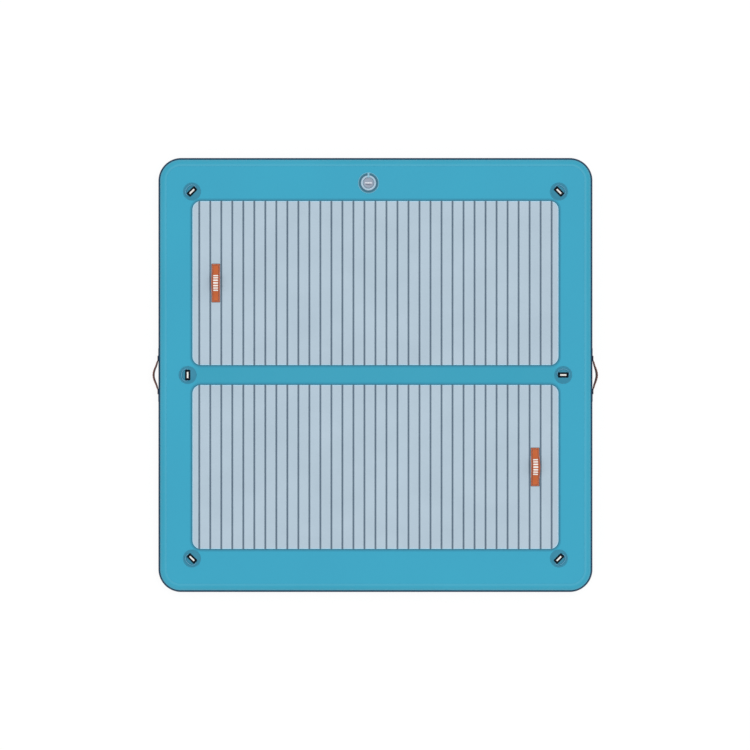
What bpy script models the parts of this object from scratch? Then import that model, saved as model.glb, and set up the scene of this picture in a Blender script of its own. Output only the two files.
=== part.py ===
"""Inflatable dock platform, built piece by piece in its real size.

The platform is an air chamber of drop-stitch fabric: two flat skins held parallel by thousands
of yarns, closed by a bulged side wall, with taped seams and a rub strip round the middle. Two
grooved foam pads make the deck. Six tie-down rings, four carry handles and one inflation valve
are fastened to it.

Frame: metres, +Z up. The origin is on the ground under the middle of the platform, +X is to the
right and +Y is towards the rear edge, where the valve is.
"""

import math

import bmesh
import bpy
from mathutils import Matrix, Vector

# Clearances and cutting
GAP = 0.0003                    # between two pieces that touch
OVERRUN = 0.004                 # how far a cutter runs past what it cuts
WELD = 0.000001                 # points closer than this are one point

# Hull
HULL_WIDTH = 2.440              # along X, over the rub strip
HULL_LENGTH = 2.440             # along Y, over the rub strip
HULL_THICKNESS = 0.150          # between the outer faces of the two skins
HULL_CORNER_RADIUS = 0.128      # in plan, at the widest line of the wall
WALL_BULGE = 0.040              # how far the air pushes the wall out past the skins
WALL_THICKNESS = 0.0012
SKIN_THICKNESS = 0.0009
RUB_STRIP_HEIGHT = 0.090
RUB_STRIP_THICKNESS = 0.0015
TAPE_THICKNESS = 0.0008
TAPE_LAP = 0.007                # seam tape lying on the flat skin
TAPE_DROP = 0.022               # seam tape reaching down the wall

# Drop-stitch core
CORE_SHEET_THICKNESS = 0.0006
CORE_EDGE_MARGIN = 0.008        # from the core to the round corner of the skin
YARN_WIDTH = 0.010              # one modelled bundle stands for a field of single yarns
YARN_ROWS = 6

# Deck pads
PAD_SIDE_OFFSET = 0.0025        # pad edge inside the line through the corner patches' middles
CORNER_PATCH_CLEARANCE = 0.0033 # from the corner patches to the end of each pad
SIDE_PATCH_CLEARANCE = 0.0054   # from the side patches to each pad
PAD_THICKNESS = 0.006
PAD_CORNER_RADIUS = 0.048
PAD_EDGE_BEVEL = 0.002
GROOVE_PITCH = 0.0617
GROOVE_WIDTH = 0.0085
GROOVE_FLOOR = 0.0045
GROOVE_DEPTH = 0.0032

# Tie-down rings
CORNER_ANCHOR_INSET = 0.1915    # from both edges of the hull to the middle of the patch
SIDE_ANCHOR_INSET = 0.1675
ANCHOR_PATCH_RADIUS = 0.050
PATCH_THICKNESS = 0.0012        # every reinforcing patch
PATCH_CHAMFER = 0.0006
TAB_LENGTH = 0.060
TAB_WIDTH = 0.030
TAB_EDGE_THICKNESS = 0.0016
TAB_CORNER_RADIUS = 0.006
TAB_ARCH_WALL = 0.0019
RING_WIRE_RADIUS = 0.0025
RING_BAR_CLEARANCE = 0.0005     # round the bar, inside the tab's arch
RING_SIDE_CLEARANCE = 0.0015    # between the tab's end and the ring's arm
RING_DEPTH = 0.034              # from the bar's centre line to the far centre line
RING_ARM = 0.010                # straight part of each arm
RING_CORNER_RADIUS = 0.0045

# Carry handles
HANDLE_LENGTH = 0.216
HANDLE_FOOT_LENGTH = 0.024
STRAP_WIDTH = 0.047
STRAP_THICKNESS = 0.0030
COVER_WIDTH = 0.0445
COVER_THICKNESS = 0.0058        # over the middle of the grip
COVER_END_THICKNESS = 0.0016
COVER_END_MARGIN = 0.0025       # bare strap past the end of the cover
COVER_EDGE_THICKNESS_SHARE = 0.55
COVER_TAPER_POWER = 0.7         # below 1 the cover stays full for longer before it thins
DECK_HANDLE_RISE = 0.031        # strap above its feet, in the middle
SIDE_HANDLE_RISE = 0.025
DECK_HANDLE_PLANK = 2           # whole planks between the handle's own and the outermost groove
FRONT_HANDLE_LEAN = 0.004       # the front deck handle has slumped sideways by this much
FOOT_PATCH_OVERHANG = 0.007     # side handle patches show round the strap's foot
SIDE_PATCH_REACH = 0.042        # and run on past the end of the strap
WINDOW_CLEARANCE = 0.0010       # round a deck handle's foot in the pad's window

# Valve, radii
VALVE_X = -0.039
VALVE_EDGE_DISTANCE = 0.1435    # from the rear edge of the hull to the valve's axis
VALVE_PATCH_RADIUS = 0.058
GASKET_RADIUS = 0.0490
FLANGE_RADIUS = 0.0425
WELL_RADIUS = 0.0315
TUBE_RADIUS = 0.0265
BORE_RADIUS = 0.0220
SEAT_RADIUS = 0.0180
LUG_GROOVE_DEPTH = 0.0030
CAP_RADIUS = 0.0292
CAP_DISH_RADIUS = 0.0250
CAP_SKIRT_CLEARANCE = 0.0005
CAP_SKIRT_WALL = 0.0030
SEAL_RING_RADIUS = 0.0270
SEAL_RING_WIDTH = 0.0030
NUT_FLANGE_RADIUS = 0.0440
NUT_RADIUS = 0.0350
HOLE_CLEARANCE = 0.0010         # round the tube, in the skin, patch and gasket
CORE_HOLE_RADIUS = 0.0500
STEM_RADIUS = 0.0030
STEM_CLEARANCE = 0.0003
BUTTON_RADIUS = 0.0080
STEM_PLATE_RADIUS = 0.0150
SEAL_DISC_RADIUS = 0.0205
HUB_RADIUS = 0.0070
SPRING_RADIUS = 0.0055
SPRING_WIRE_RADIUS = 0.0005
SPRING_TURNS = 4.5

# Valve, heights and widths
GASKET_THICKNESS = 0.0016
FLANGE_HEIGHT = 0.0060
FLANGE_EDGE_HEIGHT = 0.0032
WELL_FLOOR = 0.0015             # above the underside of the flange
WELL_RIM_HEIGHT = 0.0042
TUBE_DEPTH = 0.0300             # from the underside of the flange to the seat
LUG_GROOVE_TOP = 0.0020         # below the underside of the flange
LUG_GROOVE_HEIGHT = 0.0035
LUG_CLEARANCE = 0.0004
LUG_WIDTH = 0.0080
LEDGE_DEPTH = 0.0190
GUIDE_HEIGHT = 0.0030
SPOKE_WIDTH = 0.0030
CAP_DISC_THICKNESS = 0.0032
CAP_DISH_DEPTH = 0.0012
CAP_SKIRT_DEPTH = 0.0065        # below the underside of the flange
GRIP_BAR_LENGTH = 0.042
GRIP_BAR_WIDTH = 0.0085
GRIP_BAR_HEIGHT = 0.0030
SEAL_RING_THICKNESS = 0.0012
BUTTON_TOP_DEPTH = 0.0016
BUTTON_THICKNESS = 0.0026
SEAL_DISC_THICKNESS = 0.0020
STEM_PLATE_THICKNESS = 0.0020
NUT_FLANGE_HEIGHT = 0.0030
NUT_HEIGHT = 0.0120
NUT_NOTCH_WIDTH = 0.0070
NUT_NOTCH_DEPTH = 0.0040
TETHER_WIDTH = 0.011
TETHER_THICKNESS = 0.0010
TETHER_CLEARANCE = 0.0006
TETHER_TAB_LENGTH = 0.0064
TETHER_COLLAR_WALL = 0.0011

# How finely round shapes are cut
CORNER_STEPS = 6
PAD_CORNER_STEPS = 5
TURN_STEPS = 24
PATCH_STEPS = 24
NUT_NOTCHES = 6
GUIDE_SPOKES = 3
STRIP_STEPS = 4
TAPE_STEPS = 3
RING_ARC_STEPS = 7
RING_SIDES = 6
SPRING_STEPS = 8                # in one turn
SHARP_ANGLE = math.radians(32)

# Levels and places that follow from the sizes above
BOTTOM = TAPE_THICKNESS + GAP
MIDDLE = BOTTOM + HULL_THICKNESS / 2
TOP = BOTTOM + HULL_THICKNESS
DECK = TOP + GAP + PAD_THICKNESS
WALL_INSET = RUB_STRIP_THICKNESS + GAP
SKIN_INSET = WALL_INSET + WALL_BULGE + GAP
PAD_SPACING = 2 * (ANCHOR_PATCH_RADIUS + SIDE_PATCH_CLEARANCE)
PAD_SIDE_MARGIN = CORNER_ANCHOR_INSET + PAD_SIDE_OFFSET
PAD_END_MARGIN = CORNER_ANCHOR_INSET + ANCHOR_PATCH_RADIUS + CORNER_PATCH_CLEARANCE
PAD_WIDTH = HULL_WIDTH - 2 * PAD_SIDE_MARGIN
PAD_LENGTH = (HULL_LENGTH - PAD_SPACING) / 2 - PAD_END_MARGIN
PAD_CENTRE_Y = (PAD_SPACING + PAD_LENGTH) / 2
PAD_GROOVES = int((PAD_WIDTH / 2 - GROOVE_WIDTH - PAD_EDGE_BEVEL) / GROOVE_PITCH)
PATCH_TOP = TOP + GAP + PATCH_THICKNESS
DECK_HANDLE_X = (PAD_GROOVES - DECK_HANDLE_PLANK) * GROOVE_PITCH + GROOVE_PITCH / 2
HALF_SPAN = HANDLE_LENGTH / 2 - HANDLE_FOOT_LENGTH
VALVE_Y = HULL_LENGTH / 2 - VALVE_EDGE_DISTANCE
FLANGE_BASE = PATCH_TOP + GAP + GASKET_THICKNESS + GAP


def clear_scene():
    for item in list(bpy.data.objects):
        bpy.data.objects.remove(item)


def finish(name, colour, roughness, metallic=0.0):
    """A Principled material from a colour written as sRGB hex."""
    linear = []
    for start in (0, 2, 4):
        value = int(colour[start:start + 2], 16) / 255
        linear.append(value / 12.92 if value <= 0.04045 else ((value + 0.055) / 1.055) ** 2.4)
    material = bpy.data.materials.new(name)
    material.use_nodes = True
    shader = material.node_tree.nodes["Principled BSDF"]
    shader.inputs["Base Color"].default_value = (*linear, 1.0)
    shader.inputs["Roughness"].default_value = roughness
    shader.inputs["Metallic"].default_value = metallic
    material.diffuse_color = (*linear, 1.0)
    return material


def add_object(name, data, material, place):
    item = bpy.data.objects.new(name, data)
    bpy.context.scene.collection.objects.link(item)
    if material:
        data.materials.append(material)
    item.matrix_world = place
    return item


def add_mesh(name, shape, material=None, place=Matrix()):
    """Turns a bmesh into an object. Without a material it is a cutter."""
    bmesh.ops.recalc_face_normals(shape, faces=shape.faces)
    mesh = bpy.data.meshes.new(name)
    shape.to_mesh(mesh)
    shape.free()
    mesh.shade_smooth()
    mesh.set_sharp_from_angle(angle=SHARP_ANGLE)
    item = add_object(name, mesh, material, place)
    if material is None:
        item.hide_render = True
        item.display_type = "WIRE"
    return item


def combine(item, tool, operation="DIFFERENCE"):
    modifier = item.modifiers.new(tool.name, "BOOLEAN")
    modifier.operation = operation
    modifier.solver = "EXACT"
    modifier.object = tool


def loft(sections, closed=False):
    """A skin over sections of equally many points. An open loft gets two end caps."""
    shape = bmesh.new()
    loops = [[shape.verts.new(point) for point in section] for section in sections]
    following = loops[1:] + loops[:1] if closed else loops[1:]
    for near, far in zip(loops, following):
        for index in range(len(near)):
            after = (index + 1) % len(near)
            shape.faces.new((near[index], near[after], far[after], far[index]))
    if not closed:
        shape.faces.new(loops[0])
        shape.faces.new(loops[-1])
    return shape


def prism(outline, low, high):
    return loft([[(x, y, level) for x, y in outline] for level in (low, high)])


def turn(profile, steps=TURN_STEPS):
    """Spins a closed profile of (radius, height) points round Z."""
    shape = bmesh.new()
    points = [shape.verts.new((radius, 0, height)) for radius, height in profile]
    edges = []
    for near, far in zip(points, points[1:] + points[:1]):
        if near.co.x > 0 or far.co.x > 0:
            edges.append(shape.edges.new((near, far)))
    bmesh.ops.spin(shape, geom=points + edges, cent=(0, 0, 0), axis=(0, 0, 1),
                   angle=math.tau, steps=steps, use_merge=True)
    bmesh.ops.remove_doubles(shape, verts=shape.verts, dist=WELD)
    return shape


def block(low, high):
    """A plain box between two corners."""
    (x0, y0, z0), (x1, y1, z1) = low, high
    return prism([(x0, y0), (x1, y0), (x1, y1), (x0, y1)], z0, z1)


def rounded_outline(width, length, radius, inset=0.0, steps=CORNER_STEPS):
    """Plan of a rectangle with round corners, drawn in by an inset."""
    outline = []
    for quarter in range(4):
        side_x = (1, -1, -1, 1)[quarter]
        side_y = (1, 1, -1, -1)[quarter]
        centre_x = side_x * (width / 2 - radius)
        centre_y = side_y * (length / 2 - radius)
        for step in range(steps + 1):
            angle = (quarter + step / steps) * math.pi / 2
            outline.append((centre_x + (radius - inset) * math.cos(angle),
                            centre_y + (radius - inset) * math.sin(angle)))
    return outline


def hull_outline(inset):
    return rounded_outline(HULL_WIDTH, HULL_LENGTH, HULL_CORNER_RADIUS, inset)


def sweep_round_hull(profile):
    """Carries a closed profile of (inset, height) points once round the hull."""
    outlines = [hull_outline(inset) for inset, height in profile]
    stations = range(len(outlines[0]))
    sections = [[(*outline[station], point[1]) for outline, point in zip(outlines, profile)]
                for station in stations]
    return loft(sections, closed=True)


def wall_point(angle, outward):
    """A point of the bulged wall: an upright half ellipse, or a layer lying on it."""
    inset = WALL_INSET + WALL_BULGE - (WALL_BULGE + outward) * math.cos(angle)
    height = MIDDLE + (HULL_THICKNESS / 2 + outward) * math.sin(angle)
    return (inset, height)


def span(start, end, steps):
    return [start + (end - start) * step / steps for step in range(steps + 1)]


STRIP_ANGLE = math.asin(RUB_STRIP_HEIGHT / HULL_THICKNESS)
TAPE_ANGLE = math.asin(1 - 2 * TAPE_DROP / HULL_THICKNESS)


def wall_layer(angles, inner, outer):
    lower = [wall_point(angle, outer) for angle in angles]
    return lower + [wall_point(angle, inner) for angle in reversed(angles)]


def make_hull(materials):
    pvc = materials["pvc_blue"]
    outline = hull_outline(SKIN_INSET)
    valve_place = Matrix.Translation((VALVE_X, VALVE_Y, 0))
    hole_radius = TUBE_RADIUS + HOLE_CLEARANCE
    hole = turn([(0, MIDDLE), (hole_radius, MIDDLE), (hole_radius, TOP + OVERRUN), (0, TOP + OVERRUN)])
    top = add_mesh("hull_top_skin", prism(outline, TOP - SKIN_THICKNESS, TOP), pvc)
    combine(top, add_mesh("skin_hole_cutter", hole, place=valve_place))
    add_mesh("hull_bottom_skin", prism(outline, BOTTOM, BOTTOM + SKIN_THICKNESS), pvc)

    upper_angles = span(TAPE_ANGLE, math.pi / 2, TAPE_STEPS)
    strip_angles = span(-STRIP_ANGLE, STRIP_ANGLE, STRIP_STEPS)
    lower_angles = [-angle for angle in reversed(upper_angles)]
    wall = wall_layer(lower_angles + strip_angles + upper_angles, -WALL_THICKNESS, 0)
    add_mesh("hull_side_wall", sweep_round_hull(wall), pvc)

    strip = wall_layer(strip_angles, GAP, GAP + RUB_STRIP_THICKNESS)
    add_mesh("rub_strip", sweep_round_hull(strip), materials["pvc_navy"])

    lap_inset = SKIN_INSET + TAPE_LAP
    lower_layer, upper_layer = GAP, GAP + TAPE_THICKNESS
    tape = [wall_point(angle, upper_layer) for angle in upper_angles]
    tape += [(lap_inset, TOP + upper_layer), (lap_inset, TOP + lower_layer)]
    tape += [wall_point(angle, lower_layer) for angle in reversed(upper_angles)]
    add_mesh("top_seam_tape", sweep_round_hull(tape), pvc)
    mirrored = [(inset, 2 * MIDDLE - height) for inset, height in tape]
    add_mesh("bottom_seam_tape", sweep_round_hull(mirrored), pvc)


def make_core(materials):
    """Two woven sheets joined by rows of yarn bundles. The lower half mirrors the upper one."""
    skin_radius = HULL_CORNER_RADIUS - SKIN_INSET
    margin = SKIN_INSET + skin_radius * (1 - math.cos(math.pi / 4)) + CORE_EDGE_MARGIN
    half_x = HULL_WIDTH / 2 - margin
    half_y = HULL_LENGTH / 2 - margin
    sheet_under = HULL_THICKNESS / 2 - SKIN_THICKNESS - GAP - CORE_SHEET_THICKNESS
    shape = bmesh.new()
    bmesh.ops.create_grid(shape, x_segments=YARN_ROWS, y_segments=YARN_ROWS, size=1)
    bmesh.ops.scale(shape, vec=(half_x, half_y, 1), verts=shape.verts)
    bmesh.ops.translate(shape, vec=(0, 0, sheet_under), verts=shape.verts)
    under = list(shape.faces)
    lifted = bmesh.ops.extrude_face_region(shape, geom=under, use_keep_orig=True)
    raised = [item for item in lifted["geom"] if isinstance(item, bmesh.types.BMVert)]
    upper = [item for item in lifted["geom"] if isinstance(item, bmesh.types.BMFace)]
    bmesh.ops.translate(shape, vec=(0, 0, CORE_SHEET_THICKNESS), verts=raised)
    bmesh.ops.dissolve_faces(shape, faces=upper)
    cell = 2 * min(half_x, half_y) / YARN_ROWS
    bmesh.ops.inset_individual(shape, faces=under, thickness=(cell - YARN_WIDTH) / 2,
                               use_even_offset=True)
    yarns = bmesh.ops.extrude_discrete_faces(shape, faces=under)["faces"]
    for face in yarns:
        for corner in face.verts:
            corner.co.z = 0
    bmesh.ops.delete(shape, geom=yarns, context="FACES_ONLY")
    core = add_mesh("drop_stitch_core", shape, materials["scrim_white"],
                    Matrix.Translation((0, 0, MIDDLE)))
    mirror = core.modifiers.new("lower half", "MIRROR")
    mirror.use_axis = (False, False, True)
    mirror.merge_threshold = GAP / 3
    valve_room = turn([(0, MIDDLE), (CORE_HOLE_RADIUS, MIDDLE),
                       (CORE_HOLE_RADIUS, TOP + OVERRUN), (0, TOP + OVERRUN)])
    place = Matrix.Translation((VALVE_X, VALVE_Y, 0))
    combine(core, add_mesh("core_hole_cutter", valve_room, place=place))


def pad_block():
    """The routed foam sheet before trimming: a comb-shaped profile drawn out along Y."""
    half = PAD_WIDTH / 2
    low = TOP + GAP
    profile = [(-half - OVERRUN, low), (-half - OVERRUN, DECK)]
    for number in range(-PAD_GROOVES, PAD_GROOVES + 1):
        x = number * GROOVE_PITCH
        profile += [(x - GROOVE_WIDTH / 2, DECK), (x - GROOVE_FLOOR / 2, DECK - GROOVE_DEPTH),
                    (x + GROOVE_FLOOR / 2, DECK - GROOVE_DEPTH), (x + GROOVE_WIDTH / 2, DECK)]
    profile += [(half + OVERRUN, DECK), (half + OVERRUN, low)]
    reach = PAD_LENGTH / 2 + OVERRUN
    return loft([[(x, y, z) for x, z in profile] for y in (-reach, reach)])


def make_pad(name, centre_y, handle_x, materials, lean=0.0):
    """A window in the pad takes each foot of its handle, up to where the strap has risen clear."""
    place = Matrix.Translation((0, centre_y, 0))
    pad = add_mesh(name, pad_block(), materials["eva_pad"], place)
    trim_levels = ((TOP - OVERRUN, 0), (DECK - PAD_EDGE_BEVEL, 0),
                   (DECK + OVERRUN, PAD_EDGE_BEVEL + OVERRUN))
    trim = []
    for level, inset in trim_levels:
        outline = rounded_outline(PAD_WIDTH, PAD_LENGTH, PAD_CORNER_RADIUS, inset, PAD_CORNER_STEPS)
        trim.append([(x, y, level) for x, y in outline])
    combine(pad, add_mesh(name + "_trim", loft(trim), place=place), "INTERSECT")

    cleared = (PAD_THICKNESS - PATCH_THICKNESS + WINDOW_CLEARANCE) / DECK_HANDLE_RISE
    cleared_share = min(1.0, cleared)
    half_width = STRAP_WIDTH / 2 + WINDOW_CLEARANCE + lean * cleared_share
    outer_end = HANDLE_LENGTH / 2 + WINDOW_CLEARANCE
    inner_end = HALF_SPAN * math.acos(2 * cleared_share - 1) / math.pi
    for letter, side in (("a", -1), ("b", 1)):
        near, far = sorted((side * inner_end, side * outer_end))
        window = block((handle_x - half_width, near, TOP - OVERRUN),
                       (handle_x + half_width, far, DECK + OVERRUN))
        combine(pad, add_mesh(f"{name}_window_{letter}", window, place=place))


def arch_share(along):
    """Share of its rise that the strap has reached: a smooth arch between two flat feet."""
    if abs(along) >= HALF_SPAN:
        return 0.0
    return (1 + math.cos(math.pi * along / HALF_SPAN)) / 2


def handle_stations(cover_end):
    """Places along the handle where the sections of both its strap and its cover stand."""
    arch_shares = (0.2, 0.4, 0.6, 0.8, 1)
    half = [HALF_SPAN * share for share in arch_shares]
    half = sorted(half + [cover_end, HANDLE_LENGTH / 2])
    return [-along for along in reversed(half)] + [0] + half


def handle_section(along, rise, lean, outline):
    """Places a flat (across, up) outline square to the arch, slumped sideways near the top."""
    share = arch_share(along)
    slope = 0.0
    if abs(along) < HALF_SPAN:
        slope = -rise * math.pi / (2 * HALF_SPAN) * math.sin(math.pi * along / HALF_SPAN)
    pitch = math.atan(slope)
    section = []
    for across, up in outline:
        point = Matrix.Rotation(-pitch, 3, "Y") @ Vector((0, across, up))
        section.append(point + Vector((along, lean * share, rise * share)))
    return section


def strap_outline():
    half = STRAP_WIDTH / 2
    edge = STRAP_THICKNESS / 2
    return [(-half, edge), (edge - half, 0), (half - edge, 0), (half, edge),
            (half - edge, STRAP_THICKNESS), (edge - half, STRAP_THICKNESS)]


def cover_outline(along, end):
    """The padded cover: flat under, crowned above, thinner towards its two ends."""
    taper = math.cos(math.pi / 2 * along / end) ** COVER_TAPER_POWER if abs(along) < end else 0.0
    height = COVER_END_THICKNESS + (COVER_THICKNESS - COVER_END_THICKNESS) * taper
    low = STRAP_THICKNESS + GAP
    half = COVER_WIDTH / 2
    edge = height * COVER_EDGE_THICKNESS_SHARE
    crown_shares = (0.86, 0.5, 0)
    rim = [(half * share, low + edge + (height - edge) * (1 - share ** 2)) for share in crown_shares]
    mirrored = [(-across, up) for across, up in reversed(rim[:-1])]
    return [(-half, low), (half, low), (half, low + edge)] + rim + mirrored + [(-half, low + edge)]


def make_handle(name, place, rise, cover_end, materials, lean=0.0):
    stations = handle_stations(cover_end)
    strap = [handle_section(along, rise, lean, strap_outline()) for along in stations]
    add_mesh(name + "_handle_strap", loft(strap), materials["webbing_charcoal"], place)
    cover = [handle_section(along, rise, lean, cover_outline(along, cover_end))
             for along in stations if abs(along) <= cover_end]
    add_mesh(name + "_handle_cover", loft(cover), materials["cover_orange"], place)


def axes_place(origin, along, up):
    """A placement whose local X runs along, and whose local Z points up."""
    along, up = Vector(along), Vector(up)
    across = up.cross(along)
    turned = Matrix((along, across, up)).transposed().to_4x4()
    return Matrix.Translation(origin) @ turned


def make_deck_handle(name, x, y, materials, lean=0.0):
    """Its feet lie on patches on the skin, inside two windows in the deck pad."""
    seat = axes_place((x, y, PATCH_TOP + GAP), (0, 1, 0), (0, 0, 1))
    cover_end = HANDLE_LENGTH / 2 - COVER_END_MARGIN
    make_handle(name, seat, DECK_HANDLE_RISE, cover_end, materials, lean)
    middle = (HANDLE_LENGTH - HANDLE_FOOT_LENGTH) / 2
    outline = rounded_outline(STRAP_WIDTH, HANDLE_FOOT_LENGTH, STRAP_THICKNESS, steps=2)
    for letter, side in (("a", -1), ("b", 1)):
        place = Matrix.Translation((x, y + side * middle, 0))
        patch = prism(outline, TOP + GAP, PATCH_TOP)
        add_mesh(f"{name}_handle_patch_{letter}", patch, materials["pvc_blue"], place)


def make_side_handle(name, side, materials):
    """Its cover ends at the feet, which lie bare on patches that follow the rub strip's bulge."""
    patch_inner = 2 * GAP + RUB_STRIP_THICKNESS
    patch_outer = patch_inner + PATCH_THICKNESS
    half_height = STRAP_WIDTH / 2 + FOOT_PATCH_OVERHANG
    limit = math.asin(half_height / (HULL_THICKNESS / 2))
    arc = wall_layer(span(-limit, limit, STRIP_STEPS), patch_inner, patch_outer)
    outer_x = side * (HULL_WIDTH / 2 + GAP + PATCH_THICKNESS)
    seat = axes_place((outer_x + side * GAP, 0, MIDDLE), (0, 1, 0), (side, 0, 0))
    make_handle(name, seat, SIDE_HANDLE_RISE, HALF_SPAN - COVER_END_MARGIN, materials)
    inner_end = HALF_SPAN - FOOT_PATCH_OVERHANG
    outer_end = HANDLE_LENGTH / 2 + SIDE_PATCH_REACH
    for letter, end in (("a", -1), ("b", 1)):
        sections = [[(side * (HULL_WIDTH / 2 - inset), end * along, height)
                     for inset, height in arc] for along in (inner_end, outer_end)]
        add_mesh(f"{name}_handle_patch_{letter}", loft(sections), materials["pvc_navy"])


def disc_profile(hole, radius, low, thickness, chamfer):
    inner = [(hole, low), (hole, low + thickness)] if hole else [(0, low), (0, low + thickness)]
    high = low + thickness
    return [inner[0], (radius, low), (radius, high - chamfer), (radius - chamfer, high), inner[1]]


def tab_section(along, narrowing):
    """Across the tab: two welded flaps with an arch between them for the ring's bar."""
    bar = RING_WIRE_RADIUS + RING_BAR_CLEARANCE
    axis = RING_WIRE_RADIUS
    half = TAB_WIDTH / 2 - narrowing
    foot = TAB_EDGE_THICKNESS
    shell = bar + TAB_ARCH_WALL
    over = [(shell * math.sin(angle), axis + shell * math.cos(angle))
            for angle in span(-math.pi / 2, math.pi / 2, 6)]
    under = [(bar * math.sin(angle), axis + bar * math.cos(angle))
             for angle in span(math.pi / 2, -math.pi / 2, 6)]
    right = [(half, foot), (half, 0), (bar, 0)]
    left = [(-bar, 0), (-half, 0), (-half, foot)]
    section = over + right + under + left
    return [(along, across, up) for across, up in section]


def tab_shape():
    """Lofted along the bar. The flaps draw in at both ends to round the tab's corners."""
    radius = TAB_CORNER_RADIUS
    sections = []
    for side in (-1, 1):
        for angle in span(0, math.pi / 2, 3)[::-side]:
            along = side * (TAB_LENGTH / 2 - radius * (1 - math.cos(angle)))
            sections.append(tab_section(along, radius * (1 - math.sin(angle))))
    return loft(sections)


def ring_path():
    """Centre line of a D-shaped ring in its own plane, the bar along X through the origin."""
    half = TAB_LENGTH / 2 + RING_SIDE_CLEARANCE + RING_WIRE_RADIUS
    corner = RING_CORNER_RADIUS
    path = []
    for side in (-1, 1):
        for angle in span(0, math.pi / 2, 2)[::side]:
            path.append((side * (half - corner + corner * math.sin(angle)),
                         corner - corner * math.cos(angle)))
    for angle in span(0, math.pi, RING_ARC_STEPS):
        path.append((half * math.cos(angle), RING_ARM + (RING_DEPTH - RING_ARM) * math.sin(angle)))
    return path


def ring_shape():
    path = [Vector((x, y, 0)) for x, y in ring_path()]
    sections = []
    for index, point in enumerate(path):
        before, after = path[index - 1], path[(index + 1) % len(path)]
        run = ((point - before).normalized() + (after - point).normalized()).normalized()
        side = Vector((run.y, -run.x, 0))
        section = []
        for number in range(RING_SIDES):
            angle = math.tau * (number + 0.5) / RING_SIDES
            section.append(point + RING_WIRE_RADIUS * (side * math.cos(angle)
                                                       + Vector((0, 0, math.sin(angle)))))
        sections.append(section)
    return loft(sections, closed=True)


def make_anchor(name, x, y, outward, materials):
    """A round patch, the tab welded on it and the ring whose bar the tab holds down."""
    outward = Vector(outward).normalized()
    bar = outward.cross(Vector((0, 0, 1)))
    patch = turn(disc_profile(0, ANCHOR_PATCH_RADIUS, 0, PATCH_THICKNESS, PATCH_CHAMFER), PATCH_STEPS)
    place = Matrix.Translation((x, y, TOP + GAP))
    add_mesh(name + "_anchor_patch", patch, materials["patch_blue"], place)
    tab_place = axes_place((x, y, PATCH_TOP + GAP), bar, (0, 0, 1))
    add_mesh(name + "_anchor_tab", tab_shape(), materials["tab_black"], tab_place)
    ring_place = axes_place((x, y, PATCH_TOP + GAP + RING_WIRE_RADIUS), bar, (0, 0, 1))
    add_mesh(name + "_anchor_ring", ring_shape(), materials["ring_steel"], ring_place)


def make_anchors(materials):
    corner_x = HULL_WIDTH / 2 - CORNER_ANCHOR_INSET
    corner_y = HULL_LENGTH / 2 - CORNER_ANCHOR_INSET
    side_x = HULL_WIDTH / 2 - SIDE_ANCHOR_INSET
    make_anchor("rear_left", -corner_x, corner_y, (-1, 1, 0), materials)
    make_anchor("rear_right", corner_x, corner_y, (1, 1, 0), materials)
    make_anchor("front_left", -corner_x, -corner_y, (-1, -1, 0), materials)
    make_anchor("front_right", corner_x, -corner_y, (1, -1, 0), materials)
    make_anchor("left", -side_x, 0, (-1, 0, 0), materials)
    make_anchor("right", side_x, 0, (0, 1, 0), materials)


def body_profile():
    """Half section of the valve's body: a crowned flange, the cap's well and a stepped tube."""
    crown = FLANGE_RADIUS - WELL_RADIUS
    groove_top = -LUG_GROOVE_TOP
    groove_low = groove_top - LUG_GROOVE_HEIGHT
    groove = BORE_RADIUS + LUG_GROOVE_DEPTH
    crown_shares = ((0.2, 0.15), (0.5, 0), (0.8, 0.08))
    rim = [(FLANGE_RADIUS - across * crown, FLANGE_HEIGHT - drop * crown)
           for across, drop in crown_shares]
    return [(TUBE_RADIUS, 0), (FLANGE_RADIUS, 0), (FLANGE_RADIUS, FLANGE_EDGE_HEIGHT), *rim,
            (WELL_RADIUS, WELL_RIM_HEIGHT), (WELL_RADIUS, WELL_FLOOR), (BORE_RADIUS, WELL_FLOOR),
            (BORE_RADIUS, groove_top), (groove, groove_top), (groove, groove_low),
            (BORE_RADIUS, groove_low), (BORE_RADIUS, -LEDGE_DEPTH), (SEAT_RADIUS, -LEDGE_DEPTH),
            (SEAT_RADIUS, -TUBE_DEPTH), (TUBE_RADIUS, -TUBE_DEPTH)]


def make_valve_body(place, materials):
    """The lugs of the cap enter through two notches and turn under the rim of the bore."""
    body = add_mesh("valve_body", turn(body_profile()), materials["valve_grey"], place)
    half = LUG_WIDTH / 2 + LUG_CLEARANCE
    reach = BORE_RADIUS + LUG_GROOVE_DEPTH
    notch = block((-half, -reach, -LUG_GROOVE_TOP - LUG_GROOVE_HEIGHT / 2),
                  (half, reach, WELL_FLOOR + OVERRUN))
    combine(body, add_mesh("lug_notch_cutter", notch, place=place))


def make_valve_nut(place, materials):
    top = TOP - SKIN_THICKNESS - GAP - FLANGE_BASE
    hole = TUBE_RADIUS + GAP
    step = top - NUT_FLANGE_HEIGHT
    low = top - NUT_HEIGHT
    profile = [(hole, top), (NUT_FLANGE_RADIUS, top), (NUT_FLANGE_RADIUS, step),
               (NUT_RADIUS, step), (NUT_RADIUS, low), (hole, low)]
    nut = add_mesh("valve_backing_nut", turn(profile), materials["valve_grey"], place)
    for number in range(NUT_NOTCHES):
        notch = block((NUT_RADIUS - NUT_NOTCH_DEPTH, -NUT_NOTCH_WIDTH / 2, low - OVERRUN),
                      (NUT_RADIUS + OVERRUN, NUT_NOTCH_WIDTH / 2, step - GAP))
        turned = place @ Matrix.Rotation(math.tau * (number + 0.5) / NUT_NOTCHES, 4, "Z")
        combine(nut, add_mesh(f"nut_notch_cutter_{number}", notch, place=turned))


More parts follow.
